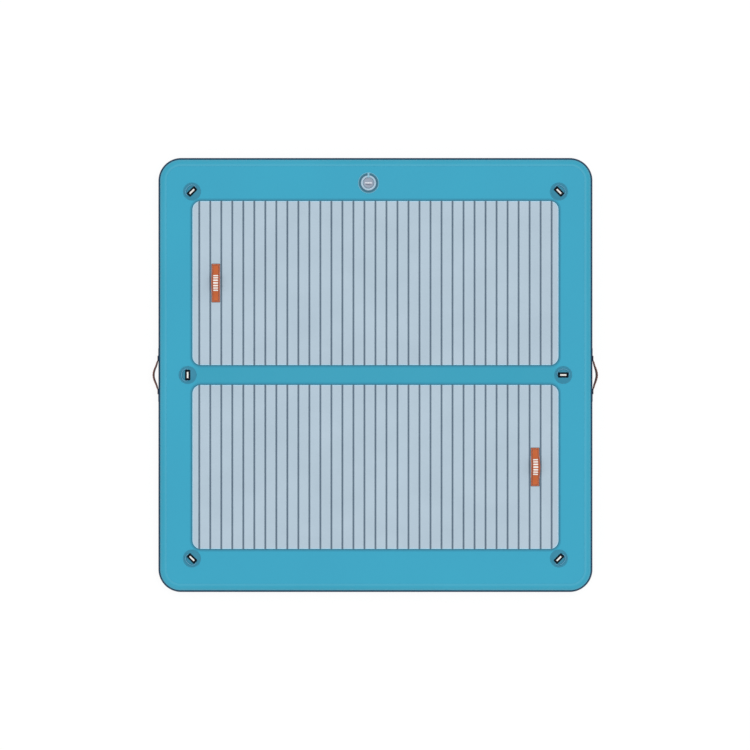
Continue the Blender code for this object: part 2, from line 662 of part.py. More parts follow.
def make_valve_guide(place, materials):
    """A ring on the ledge of the bore carries a hub, on spokes, that the stem slides in."""
    low = -LEDGE_DEPTH + GAP
    high = low + GUIDE_HEIGHT
    outer = BORE_RADIUS - GAP
    rim = turn([(SEAT_RADIUS, low), (outer, low), (outer, high), (SEAT_RADIUS, high)])
    guide = add_mesh("valve_guide", rim, materials["valve_grey"], place)
    ring_middle = (SEAT_RADIUS + outer) / 2
    for number in range(GUIDE_SPOKES):
        spoke = block((HUB_RADIUS / 2, -SPOKE_WIDTH / 2, low + GUIDE_HEIGHT / 6),
                      (ring_middle, SPOKE_WIDTH / 2, high - GUIDE_HEIGHT / 6))
        turned = place @ Matrix.Rotation(math.tau * number / GUIDE_SPOKES, 4, "Z")
        combine(guide, add_mesh(f"guide_spoke_{number}", spoke, place=turned), "UNION")
    hub = turn([(0, low), (HUB_RADIUS, low), (HUB_RADIUS, high), (0, high)], TURN_STEPS // 2)
    combine(guide, add_mesh("guide_hub", hub, place=place), "UNION")
    hole = STEM_RADIUS + STEM_CLEARANCE
    bore = turn([(0, low - OVERRUN), (hole, low - OVERRUN), (hole, high + OVERRUN),
                 (0, high + OVERRUN)], TURN_STEPS // 2)
    combine(guide, add_mesh("guide_bore", bore, place=place))
    return high


def make_valve_stem(place, guide_top, materials):
    """Button, rod and bottom plate in one turning, with the spring and seal that it carries."""
    button_low = -BUTTON_TOP_DEPTH - BUTTON_THICKNESS
    disc_top = -TUBE_DEPTH - GAP
    disc_low = disc_top - SEAL_DISC_THICKNESS
    plate_top = disc_low - GAP
    plate_low = plate_top - STEM_PLATE_THICKNESS
    stem = turn([(0, -BUTTON_TOP_DEPTH), (BUTTON_RADIUS, -BUTTON_TOP_DEPTH),
                 (BUTTON_RADIUS, button_low), (STEM_RADIUS, button_low), (STEM_RADIUS, plate_top),
                 (STEM_PLATE_RADIUS, plate_top), (STEM_PLATE_RADIUS, plate_low), (0, plate_low)],
                TURN_STEPS // 2)
    add_mesh("valve_stem", stem, materials["valve_grey"], place)
    hole = STEM_RADIUS + STEM_CLEARANCE
    disc = turn([(hole, disc_low), (SEAL_DISC_RADIUS, disc_low), (SEAL_DISC_RADIUS, disc_top),
                 (hole, disc_top)])
    add_mesh("valve_seal_disc", disc, materials["rubber_black"], place)

    low = guide_top + GAP + SPRING_WIRE_RADIUS
    high = button_low - GAP - SPRING_WIRE_RADIUS
    curve = bpy.data.curves.new("valve_spring", "CURVE")
    curve.dimensions = "3D"
    curve.bevel_depth = SPRING_WIRE_RADIUS
    curve.bevel_resolution = 1
    curve.use_fill_caps = True
    points = int(SPRING_TURNS * SPRING_STEPS)
    line = curve.splines.new("POLY")
    line.points.add(points)
    for index in range(points + 1):
        share = index / points
        angle = math.tau * SPRING_TURNS * share
        line.points[index].co = (SPRING_RADIUS * math.cos(angle), SPRING_RADIUS * math.sin(angle),
                                 low + (high - low) * share, 1)
    add_object("valve_spring", curve, materials["spring_steel"], place)


def make_valve_cap(place, materials):
    """A quarter-turn cap: dished disc with a grip bar, hollow skirt and two lugs."""
    disc_low = WELL_FLOOR + GAP
    disc_top = disc_low + CAP_DISC_THICKNESS
    skirt = BORE_RADIUS - CAP_SKIRT_CLEARANCE
    skirt_inner = skirt - CAP_SKIRT_WALL
    seal_inner = SEAL_RING_RADIUS - SEAL_RING_WIDTH
    seal_roof = disc_low + SEAL_RING_THICKNESS
    dish_floor = disc_top - CAP_DISH_DEPTH
    top_line = [(0, dish_floor), (CAP_DISH_RADIUS - CAP_DISH_DEPTH, dish_floor),
                (CAP_DISH_RADIUS, disc_top), (CAP_RADIUS - CAP_DISH_DEPTH, disc_top),
                (CAP_RADIUS, disc_top - CAP_DISH_DEPTH), (CAP_RADIUS, disc_low)]
    seal_groove = [(SEAL_RING_RADIUS + GAP, disc_low), (SEAL_RING_RADIUS + GAP, seal_roof),
                   (seal_inner - GAP, seal_roof), (seal_inner - GAP, disc_low)]
    skirt_line = [(skirt, disc_low), (skirt, -CAP_SKIRT_DEPTH), (skirt_inner, -CAP_SKIRT_DEPTH),
                  (skirt_inner, disc_low), (0, disc_low)]
    profile = top_line + seal_groove + skirt_line
    cap = add_mesh("valve_cap", turn(profile), materials["cap_grey"], place)
    bar_radius = GRIP_BAR_WIDTH / 2
    chamfer = GRIP_BAR_WIDTH / 6
    outline = rounded_outline(GRIP_BAR_LENGTH, GRIP_BAR_WIDTH, bar_radius, steps=4)
    crest = rounded_outline(GRIP_BAR_LENGTH, GRIP_BAR_WIDTH, bar_radius, chamfer, steps=4)
    bar_top = dish_floor + GRIP_BAR_HEIGHT
    levels = ((outline, dish_floor - CAP_DISH_DEPTH / 2), (outline, bar_top - chamfer), (crest, bar_top))
    bar = loft([[(x, y, level) for x, y in plan] for plan, level in levels])
    combine(cap, add_mesh("cap_grip_bar", bar, place=place), "UNION")
    lug_top = -LUG_GROOVE_TOP - LUG_CLEARANCE
    lug_low = -LUG_GROOVE_TOP - LUG_GROOVE_HEIGHT + LUG_CLEARANCE
    groove_flats = (BORE_RADIUS + LUG_GROOVE_DEPTH) * math.cos(math.pi / TURN_STEPS)
    lug_reach = math.sqrt((groove_flats - LUG_CLEARANCE) ** 2 - (LUG_WIDTH / 2) ** 2)
    for number, side in enumerate((-1, 1)):
        near, far = sorted((side * (skirt - CAP_SKIRT_WALL / 2), side * lug_reach))
        lug = block((near, -LUG_WIDTH / 2, lug_low), (far, LUG_WIDTH / 2, lug_top))
        combine(cap, add_mesh(f"cap_lug_{number}", lug, place=place), "UNION")

    seal = turn([(seal_inner, disc_low - GAP / 3), (SEAL_RING_RADIUS, disc_low - GAP / 3),
                 (SEAL_RING_RADIUS, seal_roof - GAP), (seal_inner, seal_roof - GAP)])
    add_mesh("valve_cap_seal", seal, materials["rubber_black"], place)


def make_valve_tether(place, materials):
    """A soft strip from a tab on the patch, over the flange, to a collar that the cap turns in."""
    patch_level = PATCH_TOP - FLANGE_BASE + TETHER_CLEARANCE
    gasket_level = TETHER_CLEARANCE - GAP
    over = FLANGE_HEIGHT + TETHER_CLEARANCE
    outer_side = FLANGE_RADIUS + TETHER_CLEARANCE
    collar_outer = WELL_RADIUS - GAP
    collar_inner = collar_outer - TETHER_COLLAR_WALL
    tab_end = VALVE_PATCH_RADIUS - PATCH_CHAMFER - GAP
    tab_start = tab_end - TETHER_TAB_LENGTH
    depth = TETHER_THICKNESS
    half = TETHER_WIDTH / 2
    inside = math.sqrt(collar_outer ** 2 - half ** 2)
    step = GASKET_RADIUS + TETHER_CLEARANCE
    under = [(tab_end, patch_level), (tab_start, patch_level), (step, gasket_level),
             (outer_side, gasket_level), (outer_side, over - depth), (outer_side - depth, over),
             (inside, over), (inside, WELL_FLOOR + 2 * GAP)]
    above = [(tab_end, patch_level + depth), (tab_start + depth, patch_level + depth),
             (step + depth / 2, gasket_level + depth), (outer_side + depth, gasket_level + depth),
             (outer_side + depth, over - depth / 2), (outer_side, over + depth),
             (inside - depth / 2, over + depth), (inside - depth, WELL_FLOOR + 2 * GAP)]
    outline = under + above[::-1]
    strip = loft([[(x, reach, height) for reach, height in outline] for x in (-half, half)])
    tether = add_mesh("valve_cap_tether", strip, materials["valve_grey"], place)
    collar_low = WELL_FLOOR + GAP
    collar_high = WELL_RIM_HEIGHT - GAP
    collar = turn([(collar_inner, collar_low), (collar_outer, collar_low),
                   (collar_outer, collar_high), (collar_inner, collar_high)])
    combine(tether, add_mesh("tether_collar", collar, place=place), "UNION")


def make_valve(materials):
    """Heights inside the valve are measured from the underside of its flange."""
    place = Matrix.Translation((VALVE_X, VALVE_Y, FLANGE_BASE))
    hole = TUBE_RADIUS + HOLE_CLEARANCE
    patch = turn(disc_profile(hole, VALVE_PATCH_RADIUS, TOP + GAP - FLANGE_BASE, PATCH_THICKNESS,
                              PATCH_CHAMFER))
    add_mesh("valve_patch", patch, materials["patch_blue"], place)
    gasket = turn(disc_profile(hole, GASKET_RADIUS, PATCH_TOP + GAP - FLANGE_BASE, GASKET_THICKNESS,
                               GASKET_THICKNESS / 4))
    add_mesh("valve_gasket", gasket, materials["rubber_black"], place)
    make_valve_body(place, materials)
    make_valve_nut(place, materials)
    guide_top = make_valve_guide(place, materials)
    make_valve_stem(place, guide_top, materials)
    make_valve_cap(place, materials)
    make_valve_tether(place, materials)


def main():
    clear_scene()
    materials = {
        "pvc_blue": finish("pvc_blue", "42A6C4", 0.42),
        "pvc_navy": finish("pvc_navy", "365974", 0.45),
        "patch_blue": finish("patch_blue", "428CA5", 0.45),
        "scrim_white": finish("scrim_white", "E6E4DC", 0.80),
        "eva_pad": finish("eva_pad", "B4C6D4", 0.75),
        "tab_black": finish("tab_black", "101820", 0.50),
        "ring_steel": finish("ring_steel", "8A9CA6", 0.35, 1.0),
        "webbing_charcoal": finish("webbing_charcoal", "4A3C3A", 0.80),
        "cover_orange": finish("cover_orange", "C8552D", 0.60),
        "valve_grey": finish("valve_grey", "B4C6D8", 0.40),
        "cap_grey": finish("cap_grey", "98A4B2", 0.40),
        "rubber_black": finish("rubber_black", "2C4450", 0.60),
        "spring_steel": finish("spring_steel", "B8BCC0", 0.25, 1.0),
    }
    make_hull(materials)
    make_core(materials)
    make_pad("rear_deck_pad", PAD_CENTRE_Y, -DECK_HANDLE_X, materials)
    make_pad("front_deck_pad", -PAD_CENTRE_Y, DECK_HANDLE_X, materials, FRONT_HANDLE_LEAN)
    make_valve(materials)
    make_anchors(materials)
    make_deck_handle("rear_deck", -DECK_HANDLE_X, PAD_CENTRE_Y, materials)
    make_deck_handle("front_deck", DECK_HANDLE_X, -PAD_CENTRE_Y, materials, -FRONT_HANDLE_LEAN)
    make_side_handle("left_side", -1, materials)
    make_side_handle("right_side", 1, materials)


main()
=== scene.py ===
# %% [markdown]
# # An inflatable dock platform
#
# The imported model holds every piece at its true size. This script dresses it: smooth coated
# fabric round an air chamber, two grooved foam pads, padded carry handles, tie-down rings and an
# inflation valve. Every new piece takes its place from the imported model, in metres, with +Z up.

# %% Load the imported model
import math

import bmesh
import bpy
from mathutils import Matrix, Vector


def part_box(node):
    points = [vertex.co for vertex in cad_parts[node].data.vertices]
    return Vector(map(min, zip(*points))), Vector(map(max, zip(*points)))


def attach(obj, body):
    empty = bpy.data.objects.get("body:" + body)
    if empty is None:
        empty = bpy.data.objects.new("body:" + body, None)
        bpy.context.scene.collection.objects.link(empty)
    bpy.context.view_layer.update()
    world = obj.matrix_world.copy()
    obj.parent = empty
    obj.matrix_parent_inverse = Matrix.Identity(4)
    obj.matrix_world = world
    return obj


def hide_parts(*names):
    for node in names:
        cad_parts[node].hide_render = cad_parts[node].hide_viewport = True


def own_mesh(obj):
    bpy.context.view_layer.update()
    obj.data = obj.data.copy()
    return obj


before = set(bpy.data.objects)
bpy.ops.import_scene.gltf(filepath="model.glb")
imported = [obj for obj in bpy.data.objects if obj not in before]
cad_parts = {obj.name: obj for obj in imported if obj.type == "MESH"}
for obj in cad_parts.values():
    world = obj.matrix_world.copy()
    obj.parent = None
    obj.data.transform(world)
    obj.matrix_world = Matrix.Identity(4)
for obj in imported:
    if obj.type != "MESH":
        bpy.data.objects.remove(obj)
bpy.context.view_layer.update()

# %% [markdown]
# ## The camera
#
# The platform is seen from straight above, from so far away that its sides hardly show. A long
# lens high over the middle gives that view. A camera that isn't turned looks down -Z, and its
# picture then has +Y at the top.

# %% Place the camera
CAMERA_PLACE = (-0.0025, 0.0, 23.507)
LENS_MM = 200


def put_in_scene(name, data):
    item = bpy.data.objects.new(name, data)
    bpy.context.scene.collection.objects.link(item)
    return item


camera_data = bpy.data.cameras.new("overhead_camera")
camera_data.lens = LENS_MM
camera_data.sensor_width = 36
camera_data.clip_end = 200
camera = put_in_scene("overhead_camera", camera_data)
camera.location = CAMERA_PLACE
bpy.context.scene.camera = camera
print("camera at", tuple(camera.location))

# %% [markdown]
# ## Colours and nodes
#
# Colours are written as they are read on a screen, in sRGB hex. The shaders count in linear
# light, so one function turns them. A second small function adds a node to a material, with its
# settings, its values, its incoming links and, on a colour ramp, its stops. Links are given by
# socket, or as a plain list from the first socket on. Every finish starts and ends in the same
# way, so two more functions do that, and each finish below reads as a recipe.


# %% Turn screen colours to linear light
def linear(hex_code):
    parts = []
    for start in (0, 2, 4):
        value = int(hex_code[start:start + 2], 16) / 255
        parts.append(value / 12.92 if value <= 0.04045 else ((value + 0.055) / 1.055) ** 2.4)
    return (*parts, 1.0)


def add_node(owner, kind, values=None, links=None, ramp=(), **settings):
    made = owner.node_tree.nodes.new(kind)
    for name, value in settings.items():
        setattr(made, name, value)
    for socket, value in (values or {}).items():
        made.inputs[socket].default_value = value
    for socket, source in (links.items() if isinstance(links, dict) else enumerate(links or ())):
        owner.node_tree.links.new(source, made.inputs[socket])
    for index, (position, hex_code) in enumerate(ramp):
        made.color_ramp.elements[index].position = position
        made.color_ramp.elements[index].color = linear(hex_code)
    return made


# %% Start and end a finish
def start_finish(name, roughness, metallic=0.0, **sockets):
    """A new material and its Principled shader, with the constants set on the shader itself."""
    material = bpy.data.materials.new(name)
    material.use_nodes = True
    shader = material.node_tree.nodes["Principled BSDF"]
    shader.inputs["Roughness"].default_value = roughness
    shader.inputs["Metallic"].default_value = metallic
    for socket, value in sockets.items():
        shader.inputs[socket.replace("_", " ")].default_value = value
    return material, shader


def end_finish(material, shader, tint, ramp, height, relief, depth, wear=None):
    """Turns a pattern into colours and another into relief, and links both to the shader.

    The relief is a strength and a depth in metres. wear is the roughness, where it varies.
    """
    colours = add_node(material, "ShaderNodeValToRGB", links=[tint], ramp=ramp)
    bump = add_node(material, "ShaderNodeBump", {"Strength": relief, "Distance": depth},
                    {"Height": height})
    sources = {"Base Color": colours.outputs["Color"], "Normal": bump.outputs["Normal"]}
    if wear:
        sources["Roughness"] = wear.outputs["Result"]
    for socket, source in sources.items():
        material.node_tree.links.new(source, shader.inputs[socket])
    return material


# %% [markdown]
# ## Finishes: coated fabric
#
# The chamber is polyester fabric coated with PVC and glued or welded at its seams. The coat is
# satin, and the threads under it print through as a fine grid. Real threads are about 1 mm
# apart, which is too fine for any view here, so the grid is drawn at 6 mm. A weak noise with
# clouds of about 450 mm keeps the large flat sheet from looking like plain paint.

# %% PVC-coated fabric
THREAD_PITCH = 0.006


def waves_at(pitch):
    """The Scale that makes a wave texture repeat once in every pitch, in metres."""
    return math.tau / pitch / 20


def coated_fabric(name, dark, light, roughness=0.42, relief=0.12, gloss=0.2):
    material, shader = start_finish(name, roughness, Specular_IOR_Level=gloss)
    place = add_node(material, "ShaderNodeTexCoord").outputs["Object"]
    cloud = add_node(material, "ShaderNodeTexNoise", {"Scale": 2.2, "Detail": 4.0},
                     {"Vector": place}).outputs["Fac"]
    threads = [add_node(material, "ShaderNodeTexWave", {"Scale": waves_at(THREAD_PITCH)},
                        {"Vector": place}, bands_direction=axis).outputs["Fac"] for axis in "XY"]
    grid = add_node(material, "ShaderNodeMath", links=threads, operation="MAXIMUM")
    wear = add_node(material, "ShaderNodeMapRange", {"To Min": roughness - 0.06,
                                                     "To Max": roughness + 0.08}, [cloud])
    return end_finish(material, shader, cloud, ((0.30, dark), (0.70, light)), grid.outputs[0],
                      relief, 0.0003, wear)


hull_fabric = coated_fabric("PVC-coated polyester, lagoon blue", "28A0C0", "2EA4C3")
tape_fabric = coated_fabric("PVC seam tape, lagoon blue", "37A3C0", "3DA7C4", 0.38)
patch_fabric = coated_fabric("PVC reinforcing patch, deep lagoon", "2D84A0", "3289A5", 0.45)
# The valve patch is painted darker than the deck, as painted shade round the valve's flange.
valve_patch_shade_fabric = coated_fabric("PVC valve patch, painted shade", "38788F", "3E7F96", 0.5)
# The pale weld bead is a painted highlight on the patch's rim.
bead_highlight_fabric = coated_fabric("PVC weld bead, painted highlight", "78BBD4", "84C3DA", 0.35)
strip_fabric = coated_fabric("PVC rub strip, navy", "20405A", "274761", 0.7, 0.3, 0.05)
print("coated fabrics made")

# %% [markdown]
# Between the two pads the coat is painted a little darker along the middle line, as painted
# shade. Two masks, across and along the channel, are multiplied, and their product mixes the
# darker tone into the colour that the fabric already has.

# %% Paint shade into the channel
CHANNEL_FADES = {"Y": (0.055, 0.067), "X": (0.99, 1.03)}    # where the tone fades out
shader = hull_fabric.node_tree.nodes["Principled BSDF"]
place = add_node(hull_fabric, "ShaderNodeTexCoord").outputs["Object"]
axes = add_node(hull_fabric, "ShaderNodeSeparateXYZ", links=[place])
masks = []
for axis, (start, end) in CHANNEL_FADES.items():
    away = add_node(hull_fabric, "ShaderNodeMath", links=[axes.outputs[axis]],
                    operation="ABSOLUTE")
    masks.append(add_node(hull_fabric, "ShaderNodeMapRange",
                          {"From Min": start, "From Max": end, "To Min": 1.0, "To Max": 0.0},
                          [away.outputs[0]]).outputs["Result"])
amount = add_node(hull_fabric, "ShaderNodeMath", links=masks, operation="MULTIPLY")
colour = shader.inputs["Base Color"].links[0].from_socket
# The darker tone is painted shade between the pads.
channel_shade = add_node(hull_fabric, "ShaderNodeMix", {7: linear("2A9DBA")},
                  {0: amount.outputs[0], 6: colour}, data_type="RGBA")
hull_fabric.node_tree.links.new(channel_shade.outputs[2], shader.inputs["Base Color"])
print("nodes in the hull's fabric:", len(hull_fabric.node_tree.nodes))

# %% [markdown]
# ## Finishes: deck foam
#
# The deck is closed-cell EVA foam, cut from sheet and routed. Its skin is dull and faintly
# pebbled. The grooves and their rounded edges are painted a darker slate grey, as painted shade
# in the routed grooves.

# %% EVA foam
FOAM_SCALES = (260.0, 5.0)      # pebbles of about 4 mm, clouds of about 200 mm


def foam(name, dark, light, roughness):
    material, shader = start_finish(name, roughness, Specular_IOR_Level=0.25)
    place = add_node(material, "ShaderNodeTexCoord").outputs["Object"]
    pebbles, cloud = (add_node(material, "ShaderNodeTexNoise", {"Scale": scale, "Detail": 3.0},
                               {"Vector": place}).outputs["Fac"] for scale in FOAM_SCALES)
    shade = add_node(material, "ShaderNodeMath", links=[pebbles, cloud], operation="ADD")
    tint = add_node(material, "ShaderNodeMapRange", {"From Min": 0.7, "From Max": 1.3},
                    [shade.outputs[0]])
    return end_finish(material, shader, tint.outputs["Result"], ((0, dark), (1, light)), pebbles,
                      0.25, 0.0004)


deck_foam = foam("EVA foam, mist grey", "B1C4D2", "B9CCDA", 0.78)
rim_highlight_foam = foam("EVA foam, painted rim highlight", "AAD8F0", "B2DEF4", 0.70)
# The darker slate of the grooves is painted shade.
groove_shade_foam = foam("EVA foam, painted groove shade", "66798A", "708494", 0.85)
print("foams made")

# %% [markdown]
# ## Finishes: webbing, padded cover and thread
#
# The straps are polypropylene webbing, woven in ribs across its length. The grip covers are
# stretch fabric over foam, a matt cloth with a soft sheen. Ribs are 3 mm apart, or 2.2 mm on the
# covers, and the fuzz is as coarse, so that it shows. Both cloths follow the strap, so their
# patterns read the piece's own UV map, which is laid out in metres before the strap is bent.


# %% Cloth finishes
def woven(name, dark, light, roughness, ribs, relief, sheen=0.0):
    material, shader = start_finish(name, roughness, Sheen_Weight=sheen, Sheen_Roughness=0.4,
                                    Specular_IOR_Level=0.3)
    flat = add_node(material, "ShaderNodeUVMap").outputs["UV"]
    rows = add_node(material, "ShaderNodeTexWave", {"Scale": waves_at(ribs), "Distortion": 0.6,
                                                    "Detail Scale": 2.0},
                    {"Vector": flat}, bands_direction="X")
    cross = add_node(material, "ShaderNodeTexWave", {"Scale": waves_at(ribs)},
                     {"Vector": flat}, bands_direction="DIAGONAL")
    fuzz = add_node(material, "ShaderNodeTexNoise", {"Scale": 300.0, "Detail": 4.0},
                    {"Vector": flat})
    weave = add_node(material, "ShaderNodeMath", operation="MULTIPLY",
                     links=[rows.outputs["Fac"], cross.outputs["Fac"]])
    mixed = add_node(material, "ShaderNodeMath", operation="ADD",
                     links=[weave.outputs[0], fuzz.outputs["Fac"]])
    spread = add_node(material, "ShaderNodeMapRange", {"From Min": 0.2, "From Max": 1.3},
                      [mixed.outputs[0]])
    return end_finish(material, shader, spread.outputs["Result"], ((0, dark), (1, light)),
                      mixed.outputs[0], relief, 0.0005)


strap_webbing = woven("Polypropylene webbing, umber", "5A4442", "7A5E5A", 0.8, 0.003, 0.5)
cover_cloth = woven("Stretch fabric over foam, burnt orange", "BC5C2E", "CD6B3A", 0.72, 0.0022,
                    0.3, sheen=0.15)
# Umber painted on the covers' sides is painted shade.
side_shade_cloth = woven("Stretch fabric, painted side shade", "64403A", "7A5048", 0.8, 0.003, 0.4)
print("cloths made")

# %% [markdown]
# ## Finishes: plastics, rubber and metal
#
# The valve is moulded nylon, with the fine grain of the steel mould on it. Its cap is a greyer
# ABS, with a painted highlight on its grip bar and painted shadow in its pocket. Gasket and seals
# are EPDM rubber, and the well round the cap is painted with the same black rubber, as painted
# shade. The tie-down rings are stainless steel wire gone dull in the sea, and the grip bars and
# tab marks are smooth white rubber. A dark painted contact shadow runs round each deck pad. Grain
# is counted per metre: 900 is a little over 1 mm, coarser than on the real mould, so that it
# shows.


# %% Moulded and metal finishes
def moulded(name, dark, light, roughness, grain=900.0, relief=0.08, metallic=0.0, gloss=0.5):
    material, shader = start_finish(name, roughness, metallic, Specular_IOR_Level=gloss)
    place = add_node(material, "ShaderNodeTexCoord").outputs["Object"]
    texture = add_node(material, "ShaderNodeTexNoise", {"Scale": grain, "Detail": 4.0},
                       {"Vector": place})
    cloud = add_node(material, "ShaderNodeTexNoise", {"Scale": 30.0, "Detail": 3.0},
                     {"Vector": place}).outputs["Fac"]
    scuffs = add_node(material, "ShaderNodeMapRange", {"To Min": roughness - 0.05,
                                                       "To Max": roughness + 0.08}, [cloud])
    return end_finish(material, shader, cloud, ((0.3, dark), (0.7, light)),
                      texture.outputs["Fac"], relief, 0.0002, scuffs)


valve_nylon = moulded("Moulded nylon, pale grey", "A2BCCF", "AEC7D9", 0.42)
cap_abs = moulded("Moulded ABS, mid grey", "8794A6", "929FB1", 0.40)
cap_grip_highlight = moulded("Moulded ABS, painted highlight", "CDD3DE", "D8DDE6", 0.34)
cap_pocket_shadow = moulded("Moulded ABS, shaded pocket", "72788A", "7E8496", 0.55)
tether_nylon = moulded("Nylon cord end, pale lagoon", "7CB4CB", "88BED3", 0.45)
gasket_rubber = moulded("EPDM rubber, slate blue", "3A687D", "427287", 0.62, 400.0, gloss=0.2)
# These two films are painted shadow round the deck pads, dark and then paler.
contact_shadow_paint = moulded("Painted contact shadow, dark", "29778F", "2E7D96", 0.5, 700.0, gloss=0.2)
shadow_fringe_paint = moulded("Painted contact shadow, soft edge", "2C91AF", "3196B4", 0.5, 700.0, gloss=0.2)
# Real seals are this rubber, and it is also painted into the valve's well as painted shade.
black_rubber_and_shade = moulded("EPDM rubber, black", "22343E", "2A3E49", 0.62, 400.0)
tab_plastic = moulded("PVC tab, blue-black", "04121B", "081823", 0.6, 500.0, gloss=0.05)
white_rubber = moulded("Silicone rubber, white", "EFECE6", "F8F5F0", 0.5, 500.0)
stitch_thread = moulded("Bonded polyester thread", "C9CFD4", "DADFE3", 0.6, 1500.0, 0.3)
ring_steel = moulded("Stainless steel wire, dulled", "5289A2", "6096AE", 0.45, 1200.0, 0.15, 1.0)
spring_steel = moulded("Spring steel wire", "A9ADB1", "B9BDC1", 0.28, 1200.0, 0.1, 1.0)
scrim = moulded("Drop-stitch scrim, white", "DCDAD2", "E8E6DE", 0.85, 350.0, 0.5)
print("moulded and metal finishes made")

# %% [markdown]
# ## Working by hand, in code
#
# An operator acts on whatever is selected. The helpers below open one piece with everything
# selected, pick faces or edges by a rule, and close a piece again: its place goes into its mesh,
# its normals are turned outwards and its round sides are shaded smooth. The last one hangs each
# finished piece on the body that carries it and hides the imported pieces that it replaces.


# %% Helpers for editing
MERGE = 0.000005


def drop_all():
    """Leaves edit mode, with nothing selected."""
    if bpy.context.mode != "OBJECT":
        bpy.ops.object.mode_set(mode="OBJECT")
    bpy.ops.object.select_all(action="DESELECT")


def only(piece):
    drop_all()
    piece.select_set(True)
    bpy.context.view_layer.objects.active = piece


def select_all():
    bpy.ops.mesh.select_all(action="SELECT")


def normals_out():
    bpy.ops.mesh.normals_make_consistent(inside=False)


def weld():
    """Joins points that lie together, and turns all normals outwards."""
    bpy.ops.mesh.remove_doubles(threshold=MERGE)
    normals_out()


def open_piece(piece):
    only(piece)
    bpy.ops.object.mode_set(mode="EDIT")
    bpy.ops.mesh.select_mode(type="FACE")
    select_all()


def begin(add, name, **options):
    """Adds a primitive at the origin and opens it, selected all over."""
    drop_all()
    add(**options)
    piece = bpy.context.object
    piece.name = piece.data.name = name
    open_piece(piece)
    return piece


def pick(piece, kind, rule):
    """Selects only the faces or edges that the rule accepts."""
    bpy.ops.mesh.select_mode(type=kind)
    bpy.ops.mesh.select_all(action="DESELECT")
    shape = bmesh.from_edit_mesh(piece.data)
    for item in {"FACE": shape.faces, "EDGE": shape.edges}[kind]:
        if rule(item):
            item.select_set(True)
    shape.select_flush_mode()
    bmesh.update_edit_mesh(piece.data)


def raise_by(distance):
    bpy.ops.mesh.extrude_region_move(TRANSFORM_OT_translate={"value": (0, 0, distance)})


def draw_by(x, z):
    """Draws an edge from the selected point, by a step along X and Z."""
    bpy.ops.mesh.extrude_vertices_move(TRANSFORM_OT_translate={"value": (x, 0, z)})


def inset(*steps):
    """Draws the selected faces in, step by step, each by a thickness and a depth."""
    for thickness, depth in steps:
        bpy.ops.mesh.inset(thickness=thickness, depth=depth)


# %% Helpers for finishing a piece
def modify(piece, kind, **settings):
    """Adds a modifier and applies it at once."""
    only(piece)
    modifier = piece.modifiers.new(kind.lower(), kind)
    for name, value in settings.items():
        setattr(modifier, name, value)
    bpy.ops.object.modifier_apply(modifier=modifier.name)


def combine(piece, other, operation):
    """A Boolean with another piece, which is used up."""
    modify(piece, "BOOLEAN", object=other, operation=operation, solver="EXACT")
    bpy.data.objects.remove(other)


def move(piece, *place):
    """Moves the points, so that the object itself stays at the origin."""
    piece.data.transform(Matrix.Translation(place))


def dot(name, x, z):
    """A single point, from which a section is drawn."""
    piece = begin(bpy.ops.mesh.primitive_plane_add, name, size=1)
    bpy.ops.mesh.merge(type="CENTER")
    bpy.ops.mesh.select_mode(type="VERT")
    select_all()
    bpy.ops.transform.translate(value=(x, 0, z))
    return piece


def dress(piece, *materials, smooth=35, recalculate=True):
    """Closes a piece: normals out, smooth shading, materials."""
    open_piece(piece)
    if recalculate:
        weld()
    only(piece)
    bpy.ops.object.shade_smooth_by_angle(angle=math.radians(smooth))
    for material in materials:
        piece.data.materials.append(material)
    return piece


def paint(piece, slot, rule):
    """Gives the faces that the rule accepts the finish in another material slot."""
    for face in piece.data.polygons:
        if rule(face.center, face.normal):
            face.material_index = slot


def copy_to(piece, name, place):
    """A copy with a mesh of its own, which holds its place."""
    twin = piece.copy()
    twin.data = piece.data.copy()
    twin.name = twin.data.name = name
    twin.data.transform(place)
    bpy.context.scene.collection.objects.link(twin)
    return twin


def settle(piece, body, slot, *nodes):
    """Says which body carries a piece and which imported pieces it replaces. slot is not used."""
    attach(piece, body)
    if nodes:
        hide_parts(*nodes)
    print(piece.name, "on", body, "faces:", len(piece.data.polygons))


def middle_of(node):
    low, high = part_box(node)
    return (low + high) / 2


# %% [markdown]
# ## The air chamber
#
# Two flat skins are held a hand's breadth apart by threads, and a band of fabric closes the edge,
# where air pushes it out. It starts as one plane with round corners at half height, as wide as
# the band's widest line. Each inset then draws the outline in a little and lifts it, along an
# upright ellipse. The last one leaves the flat deck. A mirror makes the lower half.

# %% Shape the chamber
HULL = 2.440
CORNER_RADIUS = 0.128
STRIP_LAYER = 0.0018            # rub strip and its gap, outside the band
STRIP_REACH = 0.0515            # how far the rub strip goes above and below half height
TAPE_DROP = 0.022               # how far the tapes come down from the skins
TAPE_ON_DECK = 0.0073
BULGE = 0.040
HALF_HEIGHT = 0.075
SKIN = 0.0009
FILM = 0.0003                   # gap between two layers of fabric
STRIP_ANGLE = math.asin(STRIP_REACH / HALF_HEIGHT)
TAPE_ANGLE = math.asin(1 - TAPE_DROP / HALF_HEIGHT)
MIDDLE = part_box("hull_top_skin")[1].z - HALF_HEIGHT


def rounded_plane(name, width, length, radius, steps):
    piece = begin(bpy.ops.mesh.primitive_plane_add, name, size=1)
    bpy.ops.transform.resize(value=(width, length, 1))
    bpy.ops.mesh.select_mode(type="VERT")
    bpy.ops.mesh.bevel(offset=radius, segments=steps, affect="VERTICES", profile=0.5)
    bpy.ops.mesh.select_mode(type="FACE")
    select_all()
    return piece


